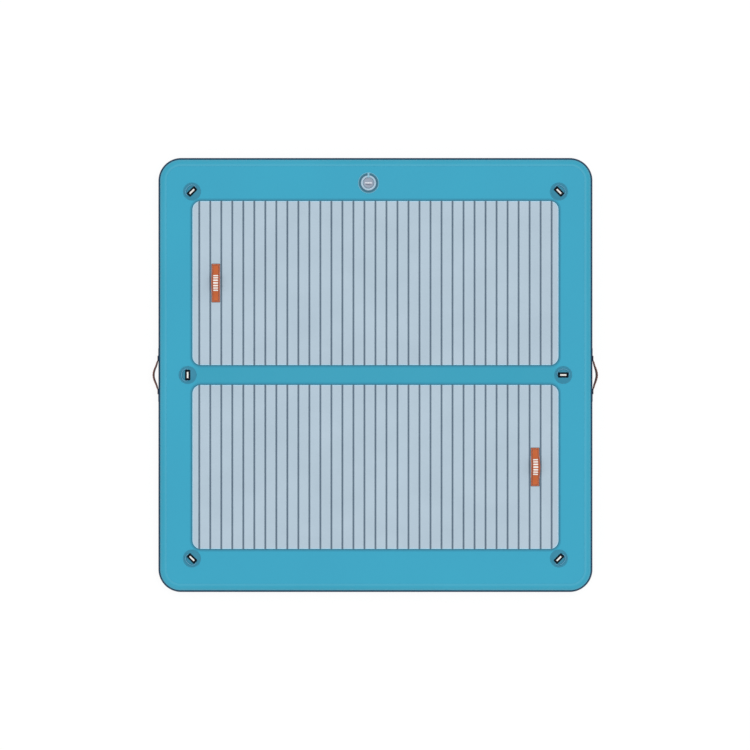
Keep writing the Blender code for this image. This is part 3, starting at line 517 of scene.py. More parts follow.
chamber = rounded_plane("air_chamber_skin", HULL - 2 * STRIP_LAYER, HULL - 2 * STRIP_LAYER,
                        CORNER_RADIUS - STRIP_LAYER, 28)
stops = [STRIP_ANGLE * share / 6 for share in range(1, 7)]
stops += [TAPE_ANGLE] + [TAPE_ANGLE + (math.pi / 2 - TAPE_ANGLE) * share / 8
                         for share in range(1, 9)]
for before, after in zip([0.0] + stops, stops):
    inset((BULGE * (math.cos(before) - math.cos(after)),
           HALF_HEIGHT * (math.sin(after) - math.sin(before))))
inset((TAPE_ON_DECK, 0))
modify(chamber, "MIRROR", use_axis=(False, False, True), merge_threshold=0.00001)
move(chamber, 0, 0, MIDDLE)
print("chamber faces:", len(chamber.data.polygons))


# %% [markdown]
# ## Seam tapes and rub strip
#
# Tapes cover the seams between band and skins, and a thick strip runs round the widest line,
# where the platform meets a boat or a jetty. Each is a layer on the same surface. Its faces are
# copied off the chamber, pushed out by a film's gap and given their thickness outwards.

# %% Copy the layers off the chamber
def layer(name, thickness, accept):
    piece = copy_to(chamber, name, Matrix())
    open_piece(piece)
    normals_out()
    pick(piece, "FACE", lambda face: not accept(face.calc_center_median().z - MIDDLE,
                                                face.calc_area()))
    bpy.ops.mesh.delete(type="FACE")
    select_all()
    bpy.ops.transform.shrink_fatten(value=FILM)
    modify(piece, "SOLIDIFY", thickness=thickness, offset=1, use_even_offset=True)
    return piece


STRIP_THICKNESS, TAPE_THICKNESS = 0.0015, 0.0008
TAPE_LOW = HALF_HEIGHT * math.sin(TAPE_ANGLE)
DECK_AREA = 2                   # square metres: a face larger than this is the flat deck
for name, thickness, accept, finish, slot, node in (
        ("rub_strip_band", STRIP_THICKNESS, lambda height, area: abs(height) < STRIP_REACH,
         strip_fabric, "pvc_navy", "rub_strip"),
        ("upper_seam_tape_band", TAPE_THICKNESS,
         lambda height, area: height > TAPE_LOW and area < DECK_AREA,
         tape_fabric, "pvc_blue", "top_seam_tape"),
        ("lower_seam_tape_band", TAPE_THICKNESS,
         lambda height, area: height < -TAPE_LOW and area < DECK_AREA,
         tape_fabric, "pvc_blue", "bottom_seam_tape")):
    band = dress(layer(name, thickness, accept), finish, recalculate=False)
    settle(band, "hull", slot, node)

# %% Give the chamber its thickness and its valve hole
modify(chamber, "SOLIDIFY", thickness=SKIN, offset=-1, use_even_offset=True)
VALVE = middle_of("valve_patch")
HOLE_RADIUS = 0.0275
cutter = begin(bpy.ops.mesh.primitive_cylinder_add, "hole_cutter", vertices=96,
               radius=HOLE_RADIUS, depth=0.04, location=(VALVE.x, VALVE.y, VALVE.z))
combine(chamber, cutter, "DIFFERENCE")

dress(chamber, hull_fabric, recalculate=False)
settle(chamber, "hull", "pvc_blue", "hull_top_skin", "hull_bottom_skin", "hull_side_wall")

# %% [markdown]
# ## The deck pads
#
# Each pad is a sheet of foam with 33 routed grooves. A plane with round corners is cut along
# every groove's edges with bisect. All of it is raised to the grooves' floor, then the planks
# alone are raised on. Two insets with lift round the edges of every plank, which also rounds the
# rim of the whole pad. A third, flat one gives the strip at the rim that is painted paler, as a
# painted highlight on the rounded edge.

# %% Cut and raise the planks
GROOVE_PITCH = 0.0617
GROOVE_FLOOR = 0.0064
GROOVE_DEPTH = 0.0032
PAD_CORNER = 0.048
CORNER_STEPS = 8                # keeps every corner point clear of the outermost groove's cuts
EDGE_ROUND = 0.0020
RIM_HIGHLIGHT = 0.0020


def nearest_groove(x):
    """Distance from the middle line of the nearest groove."""
    return abs(x - round(x / GROOVE_PITCH) * GROOVE_PITCH)


def foam_pad(name, node):
    low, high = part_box(node)
    width, length = high.x - low.x, high.y - low.y
    piece = rounded_plane(name, width, length, PAD_CORNER, CORNER_STEPS)
    count = int((width / 2 - EDGE_ROUND) / GROOVE_PITCH)
    for number in range(-count, count + 1):
        for side in (-1, 1):
            select_all()
            bpy.ops.mesh.bisect(plane_co=(number * GROOVE_PITCH + side * GROOVE_FLOOR / 2, 0, 0),
                                plane_no=(1, 0, 0))
    select_all()
    thickness = high.z - low.z
    raise_by(thickness - GROOVE_DEPTH)
    pick(piece, "FACE", lambda face: face.calc_center_median().z > 0.0001
         and abs(face.normal.z) > 0.9
         and nearest_groove(face.calc_center_median().x) > GROOVE_FLOOR)
    raise_by(GROOVE_DEPTH - EDGE_ROUND)
    inset((EDGE_ROUND * 0.3, EDGE_ROUND * 0.7), (EDGE_ROUND * 0.7, EDGE_ROUND * 0.3),
          (RIM_HIGHLIGHT, 0))
    only(piece)
    move(piece, (low.x + high.x) / 2, (low.y + high.y) / 2, low.z)
    return piece


pads = {end: foam_pad(end + "_pad_foam", end + "_deck_pad") for end in ("rear", "front")}
print("planks raised on", list(pads))

# %% [markdown]
# The handles' feet are sewn to the skin, not to the foam, so each foot has a window in its pad.
# Its size follows the foot's patch and the strap, which leans a little on the front pad.


# %% Cut the windows, then paint shade into the grooves and a highlight on the rim
WINDOW_FROM, WINDOW_TO = 0.0601, 0.109      # from the handle's middle, along it
WINDOW_HALF_WIDTH = {"rear": 0.0245, "front": 0.0253}


def cut_windows(pad, handle, half_width):
    for letter in "ab":
        spot = middle_of(f"{handle}_handle_patch_{letter}")
        centre_y = middle_of(f"{handle}_handle_strap").y
        side = 1 if spot.y > centre_y else -1
        near, far = centre_y + side * WINDOW_FROM, centre_y + side * WINDOW_TO
        cutter = begin(bpy.ops.mesh.primitive_cube_add, "window_cutter", size=1)
        bpy.ops.transform.resize(value=(2 * half_width, abs(far - near), 0.03))
        pick(cutter, "EDGE", lambda edge: abs(edge.verts[0].co.z - edge.verts[1].co.z) > 0.01)
        bpy.ops.mesh.bevel(offset=0.004, segments=4, affect="EDGES")
        only(cutter)
        move(cutter, spot.x, (near + far) / 2, spot.z)
        combine(pad, cutter, "DIFFERENCE")


def from_rim(spot, low, high):
    """Distance inwards from the pad's outline, corners included."""
    x = abs(spot.x - (low.x + high.x) / 2) - ((high.x - low.x) / 2 - PAD_CORNER)
    y = abs(spot.y - (low.y + high.y) / 2) - ((high.y - low.y) / 2 - PAD_CORNER)
    return PAD_CORNER - (math.hypot(x, y) if x > 0 and y > 0 else max(x, y))


for end, pad in pads.items():
    cut_windows(pad, end + "_deck", WINDOW_HALF_WIDTH[end])
    dress(pad, deck_foam, groove_shade_foam, rim_highlight_foam, smooth=60)
    low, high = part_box(end + "_deck_pad")
    # The strip round the pad's rim is painted paler, as a painted highlight on its rounded edge.
    paint(pad, 2, lambda spot, normal: from_rim(spot, low, high) < EDGE_ROUND + RIM_HIGHLIGHT)
    # The grooves and their rounded edges get the painted shade.
    paint(pad, 1, lambda spot, normal: normal.z > -0.5
          and nearest_groove(spot.x) < GROOVE_FLOOR / 2 + EDGE_ROUND)
    settle(pad, "hull", "eva_pad", end + "_deck_pad")

# %% [markdown]
# Round each pad lies a painted contact shadow, a film thinner than a sheet of card. It darkens
# the fabric in a narrow line next to the pad, and outside that in a paler band, the soft edge of
# the painted shadow.

# %% Lay the painted contact shadow
SHADOW_REACH = 0.014              # outwards from the pad, the outer part of it only a haze
SHADOW_FRINGE = 0.0075
SHADOW_UNDER_PAD = 0.004
SHADOW_FILM = 0.00015
SHADOW_CLEARANCE = 0.00005


# A dark painted contact shadow round a pad, with a paler painted fringe outside it.
def contact_shadow_line(name, node):
    low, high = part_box(node)
    piece = rounded_plane(name, high.x - low.x + 2 * SHADOW_REACH, high.y - low.y + 2 * SHADOW_REACH,
                          PAD_CORNER + SHADOW_REACH, 16)
    inset((SHADOW_FRINGE, 0), (SHADOW_REACH - SHADOW_FRINGE + SHADOW_UNDER_PAD, 0))
    bpy.ops.mesh.delete(type="FACE")
    only(piece)
    modify(piece, "SOLIDIFY", thickness=SHADOW_FILM, offset=1)
    move(piece, (low.x + high.x) / 2, (low.y + high.y) / 2,
         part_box("hull_top_skin")[1].z + SHADOW_CLEARANCE)
    dress(piece, shadow_fringe_paint, contact_shadow_paint)
    paint(piece, 1, lambda spot, normal: from_rim(spot, low, high) > SHADOW_FRINGE - SHADOW_REACH)
    settle(piece, "hull", "patch_blue")


for end in pads:
    contact_shadow_line(end + "_pad_glue_line", end + "_deck_pad")

# %% [markdown]
# ## Handles, laid flat
#
# A handle is a strap with a padded cover sewn on it. It is easiest to model flat, as it lies on
# the sewing table, and to bend afterwards along a curve. The flat length is the length of the
# arch, which is a little more than the distance between the handle's ends.

# %% The arch that a handle follows
HANDLE_LENGTH = 0.216
FOOT = 0.024
HALF_SPAN = HANDLE_LENGTH / 2 - FOOT
STRAP_WIDTH = 0.047
STRAP_THICKNESS = 0.0030
COVER_WIDTH = 0.0445
ARCH_POINTS = 108


def poly_curve(name, path):
    """A curve that goes straight from each point of a path to the next."""
    curve = bpy.data.curves.new(name, "CURVE")
    curve.dimensions = "3D"
    line = curve.splines.new("POLY")
    line.points.add(len(path) - 1)
    for point, place in zip(line.points, path):
        point.co = (*place, 1)
    return curve


def arch(name, rise, lean, twist):
    """A curve over the handle's length, and a table of its length at each point."""
    alongs = [HANDLE_LENGTH * (index / ARCH_POINTS - 0.5) for index in range(ARCH_POINTS + 1)]
    shares = [(1 + math.cos(math.pi * along / HALF_SPAN)) / 2 if abs(along) < HALF_SPAN else 0.0
              for along in alongs]
    path = [Vector((along, lean * share, rise * share)) for along, share in zip(alongs, shares)]
    curve = poly_curve(name, path)
    curve.twist_mode = "Z_UP"
    for point, share in zip(curve.splines[0].points, shares):
        point.tilt = twist * share
    lengths = [0.0]
    for before, after in zip(path, path[1:]):
        lengths.append(lengths[-1] + (after - before).length)
    return put_in_scene(name, curve), list(zip(alongs, lengths))


def length_at(table, along):
    """The arch's length up to a place along the handle, read from its table."""
    for (a, length_a), (b, length_b) in zip(table, table[1:]):
        if a <= along <= b:
            return length_a + (length_b - length_a) * (along - a) / (b - a)


def flat_strap(name, length):
    """A flat strap along X, cut across into steps so that it can bend, with rounded long edges."""
    piece = begin(bpy.ops.mesh.primitive_grid_add, name, x_subdivisions=96, y_subdivisions=1,
                  size=1)
    bpy.ops.transform.resize(value=(length, STRAP_WIDTH, 1))
    bpy.ops.transform.translate(value=(length / 2, 0, 0))
    raise_by(STRAP_THICKNESS)
    pick(piece, "EDGE", lambda edge: edge.calc_face_angle(0) > 1
         and abs(edge.verts[0].co.y - edge.verts[1].co.y) < 0.0001)
    bpy.ops.mesh.bevel(offset=0.0011, segments=3, affect="EDGES")
    return piece


def lay_out(piece):
    """A UV map in metres, read from above, while the piece is still flat."""
    layer_map = piece.data.uv_layers.new(name="flat")
    for loop in piece.data.loops:
        spot = piece.data.vertices[loop.vertex_index].co
        layer_map.data[loop.index].uv = (spot.x, spot.y + spot.z)


# %% [markdown]
# The cover is a pillow. Its outline is raised to the sewn edge, and three insets make a stitched
# border and the dip of the seam. From there each extrusion is raised and scaled down a little,
# which rounds the padding, and its points are spread towards the middle, where it is fullest.
# Its sides are painted umber, as painted shade, and only its face is orange. Stitches are short
# thread sausages, one after the other in the seam, and seven white rubber bars give the hand its
# grip.

# %% Sew the flat cover
BORDER = 0.0030
SEAM = 0.0009
COVER_CUTS = 84
BORDER_LOW, BORDER_HIGH = 0.0013, 0.0020    # heights of the sewn border over the strap
SEAM_HEIGHT, CROWN_HEIGHT = 0.0015, 0.0053  # where stitches and grip bars lie over the strap
BAR_COUNT, BAR_PITCH = 7, 0.013
BAR_WIDTH, BAR_LENGTH = 0.0076, 0.028


def cover_pad(name, start, end, swell):
    piece = rounded_plane(name, end - start, COVER_WIDTH, 0.005, 5)
    raise_by(0.0014)
    inset((BORDER, 0.0003), (SEAM, -0.0005), (SEAM, 0.0006))
    drawn_in = BORDER + 2 * SEAM
    for thickness, depth in ((0.0009, 0.0009), (0.0016, 0.0010), (0.0026, 0.0010),
                             (0.0038, 0.0007), (0.0045, 0.0003)):
        raise_by(depth)
        bpy.ops.transform.resize(value=[1 - thickness / (side / 2 - drawn_in) for side in
                                        (end - start, COVER_WIDTH)] + [1],
                                 center_override=(0, 0, 0))
        drawn_in += thickness
    select_all()
    bpy.ops.transform.translate(value=((start + end) / 2, 0, 0))
    for number in range(1, COVER_CUTS):
        select_all()
        bpy.ops.mesh.bisect(plane_co=(start + (end - start) * number / COVER_CUTS, 0, 0),
                            plane_no=(1, 0, 0))
    only(piece)
    for vertex in piece.data.vertices:
        along = (vertex.co.x - start) / (end - start)
        vertex.co.y *= 1 + swell * (1 - math.cos(math.tau * along)) / 2
    return piece


# %% Stitches and grip bars
STITCH_PITCH, THREAD_RADIUS = 0.0052, 0.00042


def sew(name, lines, level):
    """Rows of stitches between pairs of (x, y) points, all in one piece."""
    stitch = begin(bpy.ops.mesh.primitive_uv_sphere_add, "stitch", segments=6, ring_count=4,
                   radius=THREAD_RADIUS)
    bpy.ops.transform.resize(value=(4.2, 1, 1))
    only(stitch)
    copies = []
    for (x0, y0), (x1, y1) in lines:
        count = max(1, round(math.hypot(x1 - x0, y1 - y0) / STITCH_PITCH))
        turned = Matrix.Rotation(math.atan2(y1 - y0, x1 - x0), 4, "Z")
        for number in range(count):
            share = (number + 0.5) / count
            spot = (x0 + (x1 - x0) * share, y0 + (y1 - y0) * share, level)
            copies.append(copy_to(stitch, "stitch", Matrix.Translation(spot) @ turned))
    bpy.data.objects.remove(stitch)
    only(copies[0])
    for copy in copies:
        copy.select_set(True)
    bpy.ops.object.join()
    copies[0].name = copies[0].data.name = name
    return copies[0]


def grip_bars(name, middle, level):
    bar = rounded_plane(name, BAR_WIDTH, BAR_LENGTH, 0.0035, 6)
    raise_by(0.0007)
    inset((0.0005, 0.0003))
    only(bar)
    move(bar, middle - BAR_PITCH * (BAR_COUNT - 1) / 2, 0, level)
    modify(bar, "ARRAY", count=BAR_COUNT, use_relative_offset=False, use_constant_offset=True,
           constant_offset_displace=(BAR_PITCH, 0, 0))
    return bar


# %% Put a handle together
def on_shaded_side(spot, top):
    """The sewn sides of a flat cover, below and above its border, up to where its face begins, get
    painted shade.
    """
    height = spot.z - STRAP_THICKNESS - FILM
    return height < BORDER_LOW or BORDER_HIGH < height < top


def make_handle(handle, rise, lean, twist, cover_end, swell, shade_top, place):
    curve, table = arch(handle + "_arch", rise, lean, twist)
    total = table[-1][1]
    strap = flat_strap(handle + "_strap_webbing", total)
    start, end = length_at(table, -cover_end), length_at(table, cover_end)
    cover = cover_pad(handle + "_cover_cloth", start, end, swell)
    level = STRAP_THICKNESS + FILM
    move(cover, 0, 0, level)
    line = COVER_WIDTH / 2 - BORDER - SEAM
    ends = (start + BORDER + SEAM, end - BORDER - SEAM)
    rows = [((ends[0], side * line), (ends[1], side * line)) for side in (-1, 1)]
    rows += [((x, -line), (x, line)) for x in ends]
    threads = sew(handle + "_cover_stitching", rows, level + SEAM_HEIGHT)
    bars = grip_bars(handle + "_grip_bars", total / 2, level + CROWN_HEIGHT)
    for piece, finish, slot, nodes in (
            (strap, strap_webbing, "webbing_charcoal", [handle + "_handle_strap"]),
            (cover, cover_cloth, "cover_orange", [handle + "_handle_cover"]),
            (threads, stitch_thread, "webbing_charcoal", []),
            (bars, white_rubber, "valve_grey", [])):
        open_piece(piece)
        weld()
        only(piece)
        lay_out(piece)
        piece.data.materials.append(finish)
        if piece == cover:
            piece.data.materials.append(side_shade_cloth)
            # The cover's sides get the painted shade.
            paint(piece, 1, lambda spot, normal: on_shaded_side(spot, shade_top))
        modify(piece, "CURVE", object=curve, deform_axis="POS_X")
        piece.data.transform(place)
        dress(piece, smooth=50, recalculate=False)
        settle(piece, "hull", slot, *nodes)
    bpy.data.objects.remove(curve)


# %% [markdown]
# The two deck handles stand up along Y on the foam, and the one at the front has slumped a little
# to the right. The two side handles are turned outwards from the rub strip, and their upper edges
# tip outwards a little, the right one more. A placement is written by where the handle's own X
# (along) and Z (up) go.


# %% Make and place the four handles
def seat(origin, along, up):
    along, up = Vector(along), Vector(up)
    turned = Matrix((along, up.cross(along), up)).transposed().to_4x4()
    return Matrix.Translation(origin) @ turned


DECK_RISE, LEFT_RISE, RIGHT_RISE, SLUMP = 0.031, 0.0218, 0.0190, 0.0025
LEFT_TWIST, RIGHT_TWIST = math.radians(3), math.radians(6)
DECK_COVER_END, SIDE_COVER_END = 0.1068, 0.0815     # from the handle's middle
COVER_SWELL, FRONT_COVER_SWELL = 0.06, 0.11         # how much wider in the middle
DECK_SHADE_TOP, SIDE_SHADE_TOP = 0.0036, 0.0046           # where the orange face begins
for handle, lean, swell in (("rear_deck", 0.0, COVER_SWELL),
                            ("front_deck", -SLUMP, FRONT_COVER_SWELL)):
    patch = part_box(handle + "_handle_patch_a")[1].z
    across = middle_of(handle + "_handle_patch_a").x
    centre = middle_of(handle + "_handle_strap")
    make_handle(handle, DECK_RISE, lean, 0.0, DECK_COVER_END, swell, DECK_SHADE_TOP,
                seat((across, centre.y, patch + FILM), (0, 1, 0), (0, 0, 1)))
for handle, side, rise, twist in (("left_side", -1, LEFT_RISE, -LEFT_TWIST),
                                  ("right_side", 1, RIGHT_RISE, RIGHT_TWIST)):
    low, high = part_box(handle + "_handle_strap")
    foot_x = low.x if side > 0 else high.x
    make_handle(handle, rise, 0.0, twist, SIDE_COVER_END, COVER_SWELL, SIDE_SHADE_TOP,
                seat((foot_x, 0, MIDDLE), (0, 1, 0), (side, 0, 0)))

# %% [markdown]
# ## Tie-down points
#
# Each point is a round patch with a black tab welded on it, and the tab holds a ring by its
# straight bar. Patch, tab and ring are each modelled once at the origin and copied to six places.
# The patch has a welded border: a shallow ring pressed in just inside its edge.

# %% The patch, and two simple shapes
PATCH_RADIUS = 0.050
PATCH_THICKNESS = 0.0012
WELD_BORDER = 0.0025
TAB_LENGTH, TAB_WIDTH = 0.060, 0.030
WIRE = 0.0025
ARCH_INSIDE, ARCH_OUTSIDE = 0.0030, 0.0049
MARK_LENGTH = 0.035


def welded_disc(name):
    """A disc with a rounded edge and, inside its welded border, a shallow pressed ring."""
    piece = begin(bpy.ops.mesh.primitive_circle_add, name, vertices=96, radius=PATCH_RADIUS,
                  fill_type="NGON")
    raise_by(PATCH_THICKNESS - 0.0004)
    inset((0.0005, 0.0003), (0.0008, 0.0001), (WELD_BORDER, 0), (0.0006, -0.0003), (0.0016, 0),
          (0.0006, 0.0003))
    only(piece)
    return piece


def box_piece(name, size, place, round_off=0.0):
    """A cutter or a small lug."""
    piece = begin(bpy.ops.mesh.primitive_cube_add, name, size=1)
    bpy.ops.transform.resize(value=size)
    if round_off:
        bpy.ops.mesh.bevel(offset=round_off, segments=2, affect="EDGES")
    bpy.ops.transform.translate(value=place)
    only(piece)
    return piece


def pipe(name, radius, length, level):
    piece = begin(bpy.ops.mesh.primitive_cylinder_add, name, vertices=48, radius=radius,
                  depth=length)
    bpy.ops.transform.rotate(value=math.pi / 2, orient_axis="Y", center_override=(0, 0, 0))
    bpy.ops.transform.translate(value=(0, 0, level))
    only(piece)
    return piece


# %% The tab and its mark
def tab_body(name):
    """A plate with round corners, an arch welded over its middle and a slot for the bar."""
    piece = rounded_plane(name, TAB_LENGTH, TAB_WIDTH, 0.006, 6)
    raise_by(0.0012)
    inset((0.0004, 0.0004))
    select_all()
    normals_out()
    only(piece)
    combine(piece, pipe("arch_pipe", ARCH_OUTSIDE, TAB_LENGTH - 0.0002, WIRE), "UNION")
    combine(piece, box_piece("arch_foot", (TAB_LENGTH - 0.0002, 2 * ARCH_OUTSIDE + 0.0012, WIRE),
                             (0, 0, WIRE / 2)), "UNION")
    combine(piece, pipe("slot_pipe", ARCH_INSIDE, 0.08, WIRE), "DIFFERENCE")
    combine(piece, box_piece("slot_foot", (0.08, 2 * ARCH_INSIDE, 0.008),
                             (0, 0, WIRE - 0.004)), "DIFFERENCE")
    combine(piece, box_piece("ground", (0.1, 0.1, 0.02), (0, 0, -0.01)), "DIFFERENCE")
    modify(piece, "BEVEL", width=0.00035, segments=2, limit_method="ANGLE",
           angle_limit=math.radians(50))
    return piece


def tab_mark(name):
    """A plain white bar moulded over the top of the arch: one edge, spun over it."""
    reach = math.radians(58)
    piece = dot(name, -MARK_LENGTH / 2, WIRE + ARCH_OUTSIDE + 0.00015)
    draw_by(MARK_LENGTH, 0)
    select_all()
    bpy.ops.mesh.spin(steps=10, angle=reach, center=(0, 0, WIRE), axis=(1, 0, 0))
    modify(piece, "MIRROR", use_axis=(False, True, False), merge_threshold=0.00001)
    open_piece(piece)
    normals_out()
    shape = bmesh.from_edit_mesh(piece.data)
    shape.faces.ensure_lookup_table()
    if sum(face.normal.z for face in shape.faces) < 0:
        bpy.ops.mesh.flip_normals()
    modify(piece, "SOLIDIFY", thickness=0.0004, offset=1)
    return piece


# %% The ring
def ring_wire(name):
    """A D-ring: a straight bar, two round corners, two short arms and a half ellipse."""
    half, arm, depth, corner = 0.034, 0.010, 0.034, 0.0045
    path = []
    for side in (-1, 1):
        for angle in [math.pi / 2 * step / 6 for step in range(7)][::side]:
            path.append((side * (half - corner + corner * math.sin(angle)),
                         corner - corner * math.cos(angle), 0))
    for step in range(41):
        angle = math.pi * step / 40
        path.append((half * math.cos(angle), arm + (depth - arm) * math.sin(angle), 0))
    curve = poly_curve(name, path)
    curve.bevel_depth = WIRE
    curve.bevel_resolution = 4
    curve.splines[0].use_cyclic_u = True
    only(put_in_scene(name, curve))
    bpy.ops.object.convert(target="MESH")
    return bpy.context.object


# %% Copy the tie-down points to their places
patch_model = dress(welded_disc("patch_model"), patch_fabric)
tab_model = dress(tab_body("tab_model"), tab_plastic, smooth=40)
mark_model = dress(tab_mark("mark_model"), white_rubber, recalculate=False)
ring_model = dress(ring_wire("ring_model"), ring_steel, smooth=60)

OUTWARD = {"rear_left": (-1, 1), "rear_right": (1, 1), "front_left": (-1, -1),
           "front_right": (1, -1), "left": (-1, 0), "right": (0, 1)}
for point, (out_x, out_y) in OUTWARD.items():
    low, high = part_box(point + "_anchor_patch")
    centre = (low + high) / 2
    turned = Matrix.Rotation(math.atan2(-out_x, out_y), 4, "Z")
    on_skin, on_patch, at_bar = (Matrix.Translation((centre.x, centre.y, level)) @ turned
                                 for level in (low.z, high.z + FILM, high.z + FILM + WIRE))
    for model, suffix, place, body, slot, nodes in (
            (patch_model, "_patch_disc", on_skin, "hull", "patch_blue", [point + "_anchor_patch"]),
            (tab_model, "_tab_moulding", on_patch, "hull", "tab_black", [point + "_anchor_tab"]),
            (mark_model, "_tab_bar", on_patch, "hull", "valve_grey", []),
            (ring_model, "_ring_wire", at_bar, point + "_ring", "ring_steel",
             [point + "_anchor_ring"])):
        settle(copy_to(model, point + suffix, place), body, slot, *nodes)
for model in (patch_model, tab_model, mark_model, ring_model):
    bpy.data.objects.remove(model)
print("tie-down points:", len(OUTWARD))

# %% [markdown]
# ## The valve
#
# The valve's round parts are lathe work: half a section is drawn point by point and spun round
# the valve's axis. The cap has a dished face with a bar to grip, and turns in a well in the body.
# Heights are measured from the underside of the body's flange, as on a drawing.

# %% How a round part is turned
AXIS = Vector((VALVE.x, VALVE.y, 0))


def turned_part(name, profile, steps, edge):
    """Draws half a section, spins it round Z in steps and, if edge isn't 0, rounds its edges."""
    piece = dot(name, *profile[0])
    for (x0, z0), (x1, z1) in zip(profile, profile[1:]):
        draw_by(x1 - x0, z1 - z0)
    select_all()
    bpy.ops.mesh.remove_doubles(threshold=MERGE)
    bpy.ops.mesh.spin(steps=steps, angle=math.tau, center=(0, 0, 0), axis=(0, 0, 1))
    select_all()
    weld()
    only(piece)
    if edge:
        modify(piece, "BEVEL", width=edge, segments=3, limit_method="ANGLE",
               angle_limit=math.radians(30))
    return piece


def drop_to_valve(piece, base):
    move(piece, AXIS.x, AXIS.y, base)
    return piece


def off_axis(spot):
    return math.hypot(spot.x - AXIS.x, spot.y - AXIS.y)


# %% The body, with notches for the cap's lugs
FLANGE_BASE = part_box("valve_gasket")[1].z + FILM
NOTCH_SIZE, NOTCH_LEVEL = (0.0088, 0.050, 0.0093), 0.0009
WELL_FLOOR, WELL_TOP = 0.0010, 0.0036           # heights of the dark well round the cap
WELL_INSIDE, WELL_OUTSIDE = 0.0225, 0.0316
body_profile = [(0.0265, 0), (0.0425, 0), (0.0425, 0.0032), (0.0403, 0.0050), (0.0370, 0.0060),
                (0.0337, 0.0056), (0.0315, 0.0042), (0.0315, 0.0015), (0.0220, 0.0015),
                (0.0220, -0.0020), (0.0250, -0.0020), (0.0250, -0.0055), (0.0220, -0.0055),
                (0.0220, -0.0190), (0.0180, -0.0190), (0.0180, -0.0300), (0.0265, -0.0300),
                (0.0265, 0)]
valve_body = drop_to_valve(turned_part("valve_body_moulding", body_profile, 120, 0.0003),
                           FLANGE_BASE)
notch = box_piece("notch_cutter", NOTCH_SIZE, (0, 0, NOTCH_LEVEL))
combine(valve_body, drop_to_valve(notch, FLANGE_BASE), "DIFFERENCE")
dress(valve_body, valve_nylon, black_rubber_and_shade, smooth=40)
# The well round the cap is painted with the black rubber, as painted shade in the gap.
paint(valve_body, 1, lambda spot, normal: WELL_FLOOR < spot.z - FLANGE_BASE < WELL_TOP
      and WELL_INSIDE < off_axis(spot) < WELL_OUTSIDE)
settle(valve_body, "hull", "valve_grey", "valve_body")

# %% The patch with its weld bead, and the gasket
BEAD_INSIDE = 0.0557
patch_profile = [(HOLE_RADIUS, 0), (0.058, 0), (0.0585, 0.0006), (0.0585, 0.0014),
                 (0.0579, 0.0018), (0.0565, 0.0018), (0.0559, 0.0014), (BEAD_INSIDE, 0.0010),
                 (HOLE_RADIUS, 0.0010), (HOLE_RADIUS, 0)]
gasket_profile = [(HOLE_RADIUS, 0), (0.049, 0), (0.049, 0.0012), (0.0486, 0.0016),
                  (HOLE_RADIUS, 0.0016), (HOLE_RADIUS, 0)]
for name, profile, steps, finishes, slot, node in (
        ("valve_patch_disc", patch_profile, 120, (valve_patch_shade_fabric, bead_highlight_fabric), "patch_blue",
         "valve_patch"),
        ("valve_gasket_ring", gasket_profile, 96, (gasket_rubber,), "rubber_black",
         "valve_gasket")):
    disc = drop_to_valve(turned_part(name, profile, steps, 0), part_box(node)[0].z)
    dress(disc, *finishes)
    if bead_highlight_fabric in finishes:
        # The bead's top gets the painted highlight.
        paint(disc, 1, lambda spot, normal: normal.z > -0.5 and off_axis(spot) > BEAD_INSIDE)
    settle(disc, "hull", slot, node)

# %% [markdown]
# The cap's disc, its grip bar and its two lugs are one moulding, so they are joined with Boolean
# unions. A shallow pocket in front of the bar makes room for the fingertips. The top of the bar
# has a painted highlight, and the pocket's floor painted shadow. The cap rides on its own body,
# because it turns a quarter to come free.

# %% The cap
GRIP_LENGTH, GRIP_WIDTH, GRIP_LEVEL = 0.042, 0.0085, 0.0032
POCKET_RADIUS, POCKET_LEVEL, POCKET_EDGE = 0.0205, 0.0039, -0.0051
LUG_SIZE, LUG_REACH, LUG_LEVEL = (0.0041, 0.008, 0.0027), 0.02205, -0.00375
cap_profile = [(0, 0.0038), (0.0238, 0.0038), (0.0250, 0.0050), (0.0280, 0.0050),
               (0.0292, 0.0038), (0.0292, 0.0018), (0.0273, 0.0018), (0.0273, 0.0030),
               (0.0237, 0.0030), (0.0237, 0.0018), (0.0215, 0.0018), (0.0215, -0.0065),
               (0.0185, -0.0065), (0.0185, 0.0018), (0, 0.0018)]
cap = turned_part("valve_cap_moulding", cap_profile, 96, 0.0003)
bar = rounded_plane("grip_bar", GRIP_LENGTH, GRIP_WIDTH, 0.0040, 10)
raise_by(0.0026)
inset((0.0004, 0.0006), (0.0010, 0.0004))
select_all()
normals_out()
only(bar)
move(bar, 0, 0, GRIP_LEVEL)
combine(cap, bar, "UNION")
pocket = begin(bpy.ops.mesh.primitive_cylinder_add, "pocket_cutter", vertices=64,
               radius=POCKET_RADIUS, depth=0.003)
bpy.ops.transform.resize(value=(1, 0.66, 1))
bpy.ops.mesh.bisect(plane_co=(0, POCKET_EDGE, 0), plane_no=(0, 1, 0), clear_outer=True,
                    use_fill=True)
only(pocket)
move(pocket, 0, 0, POCKET_LEVEL)
combine(cap, pocket, "DIFFERENCE")
for side in (-1, 1):
    combine(cap, box_piece("lug", LUG_SIZE, (side * LUG_REACH, 0, LUG_LEVEL), round_off=0.0003),
            "UNION")
dress(cap, cap_abs, cap_grip_highlight, cap_pocket_shadow, smooth=40)
# Painted highlight on the top of the grip bar.
paint(cap, 1, lambda spot, normal: spot.z > 0.0040 and abs(spot.y) < 0.0046
      and abs(spot.x) < 0.0215)
# Painted shadow on the pocket's floor, in front of the bar.
paint(cap, 2, lambda spot, normal: 0.0020 < spot.z < 0.0037 and normal.z > -0.5
      and -0.0140 < spot.y < -0.0046 and abs(spot.x) < 0.0190)
drop_to_valve(cap, FLANGE_BASE)
settle(cap, "cap", "cap_grey", "valve_cap")

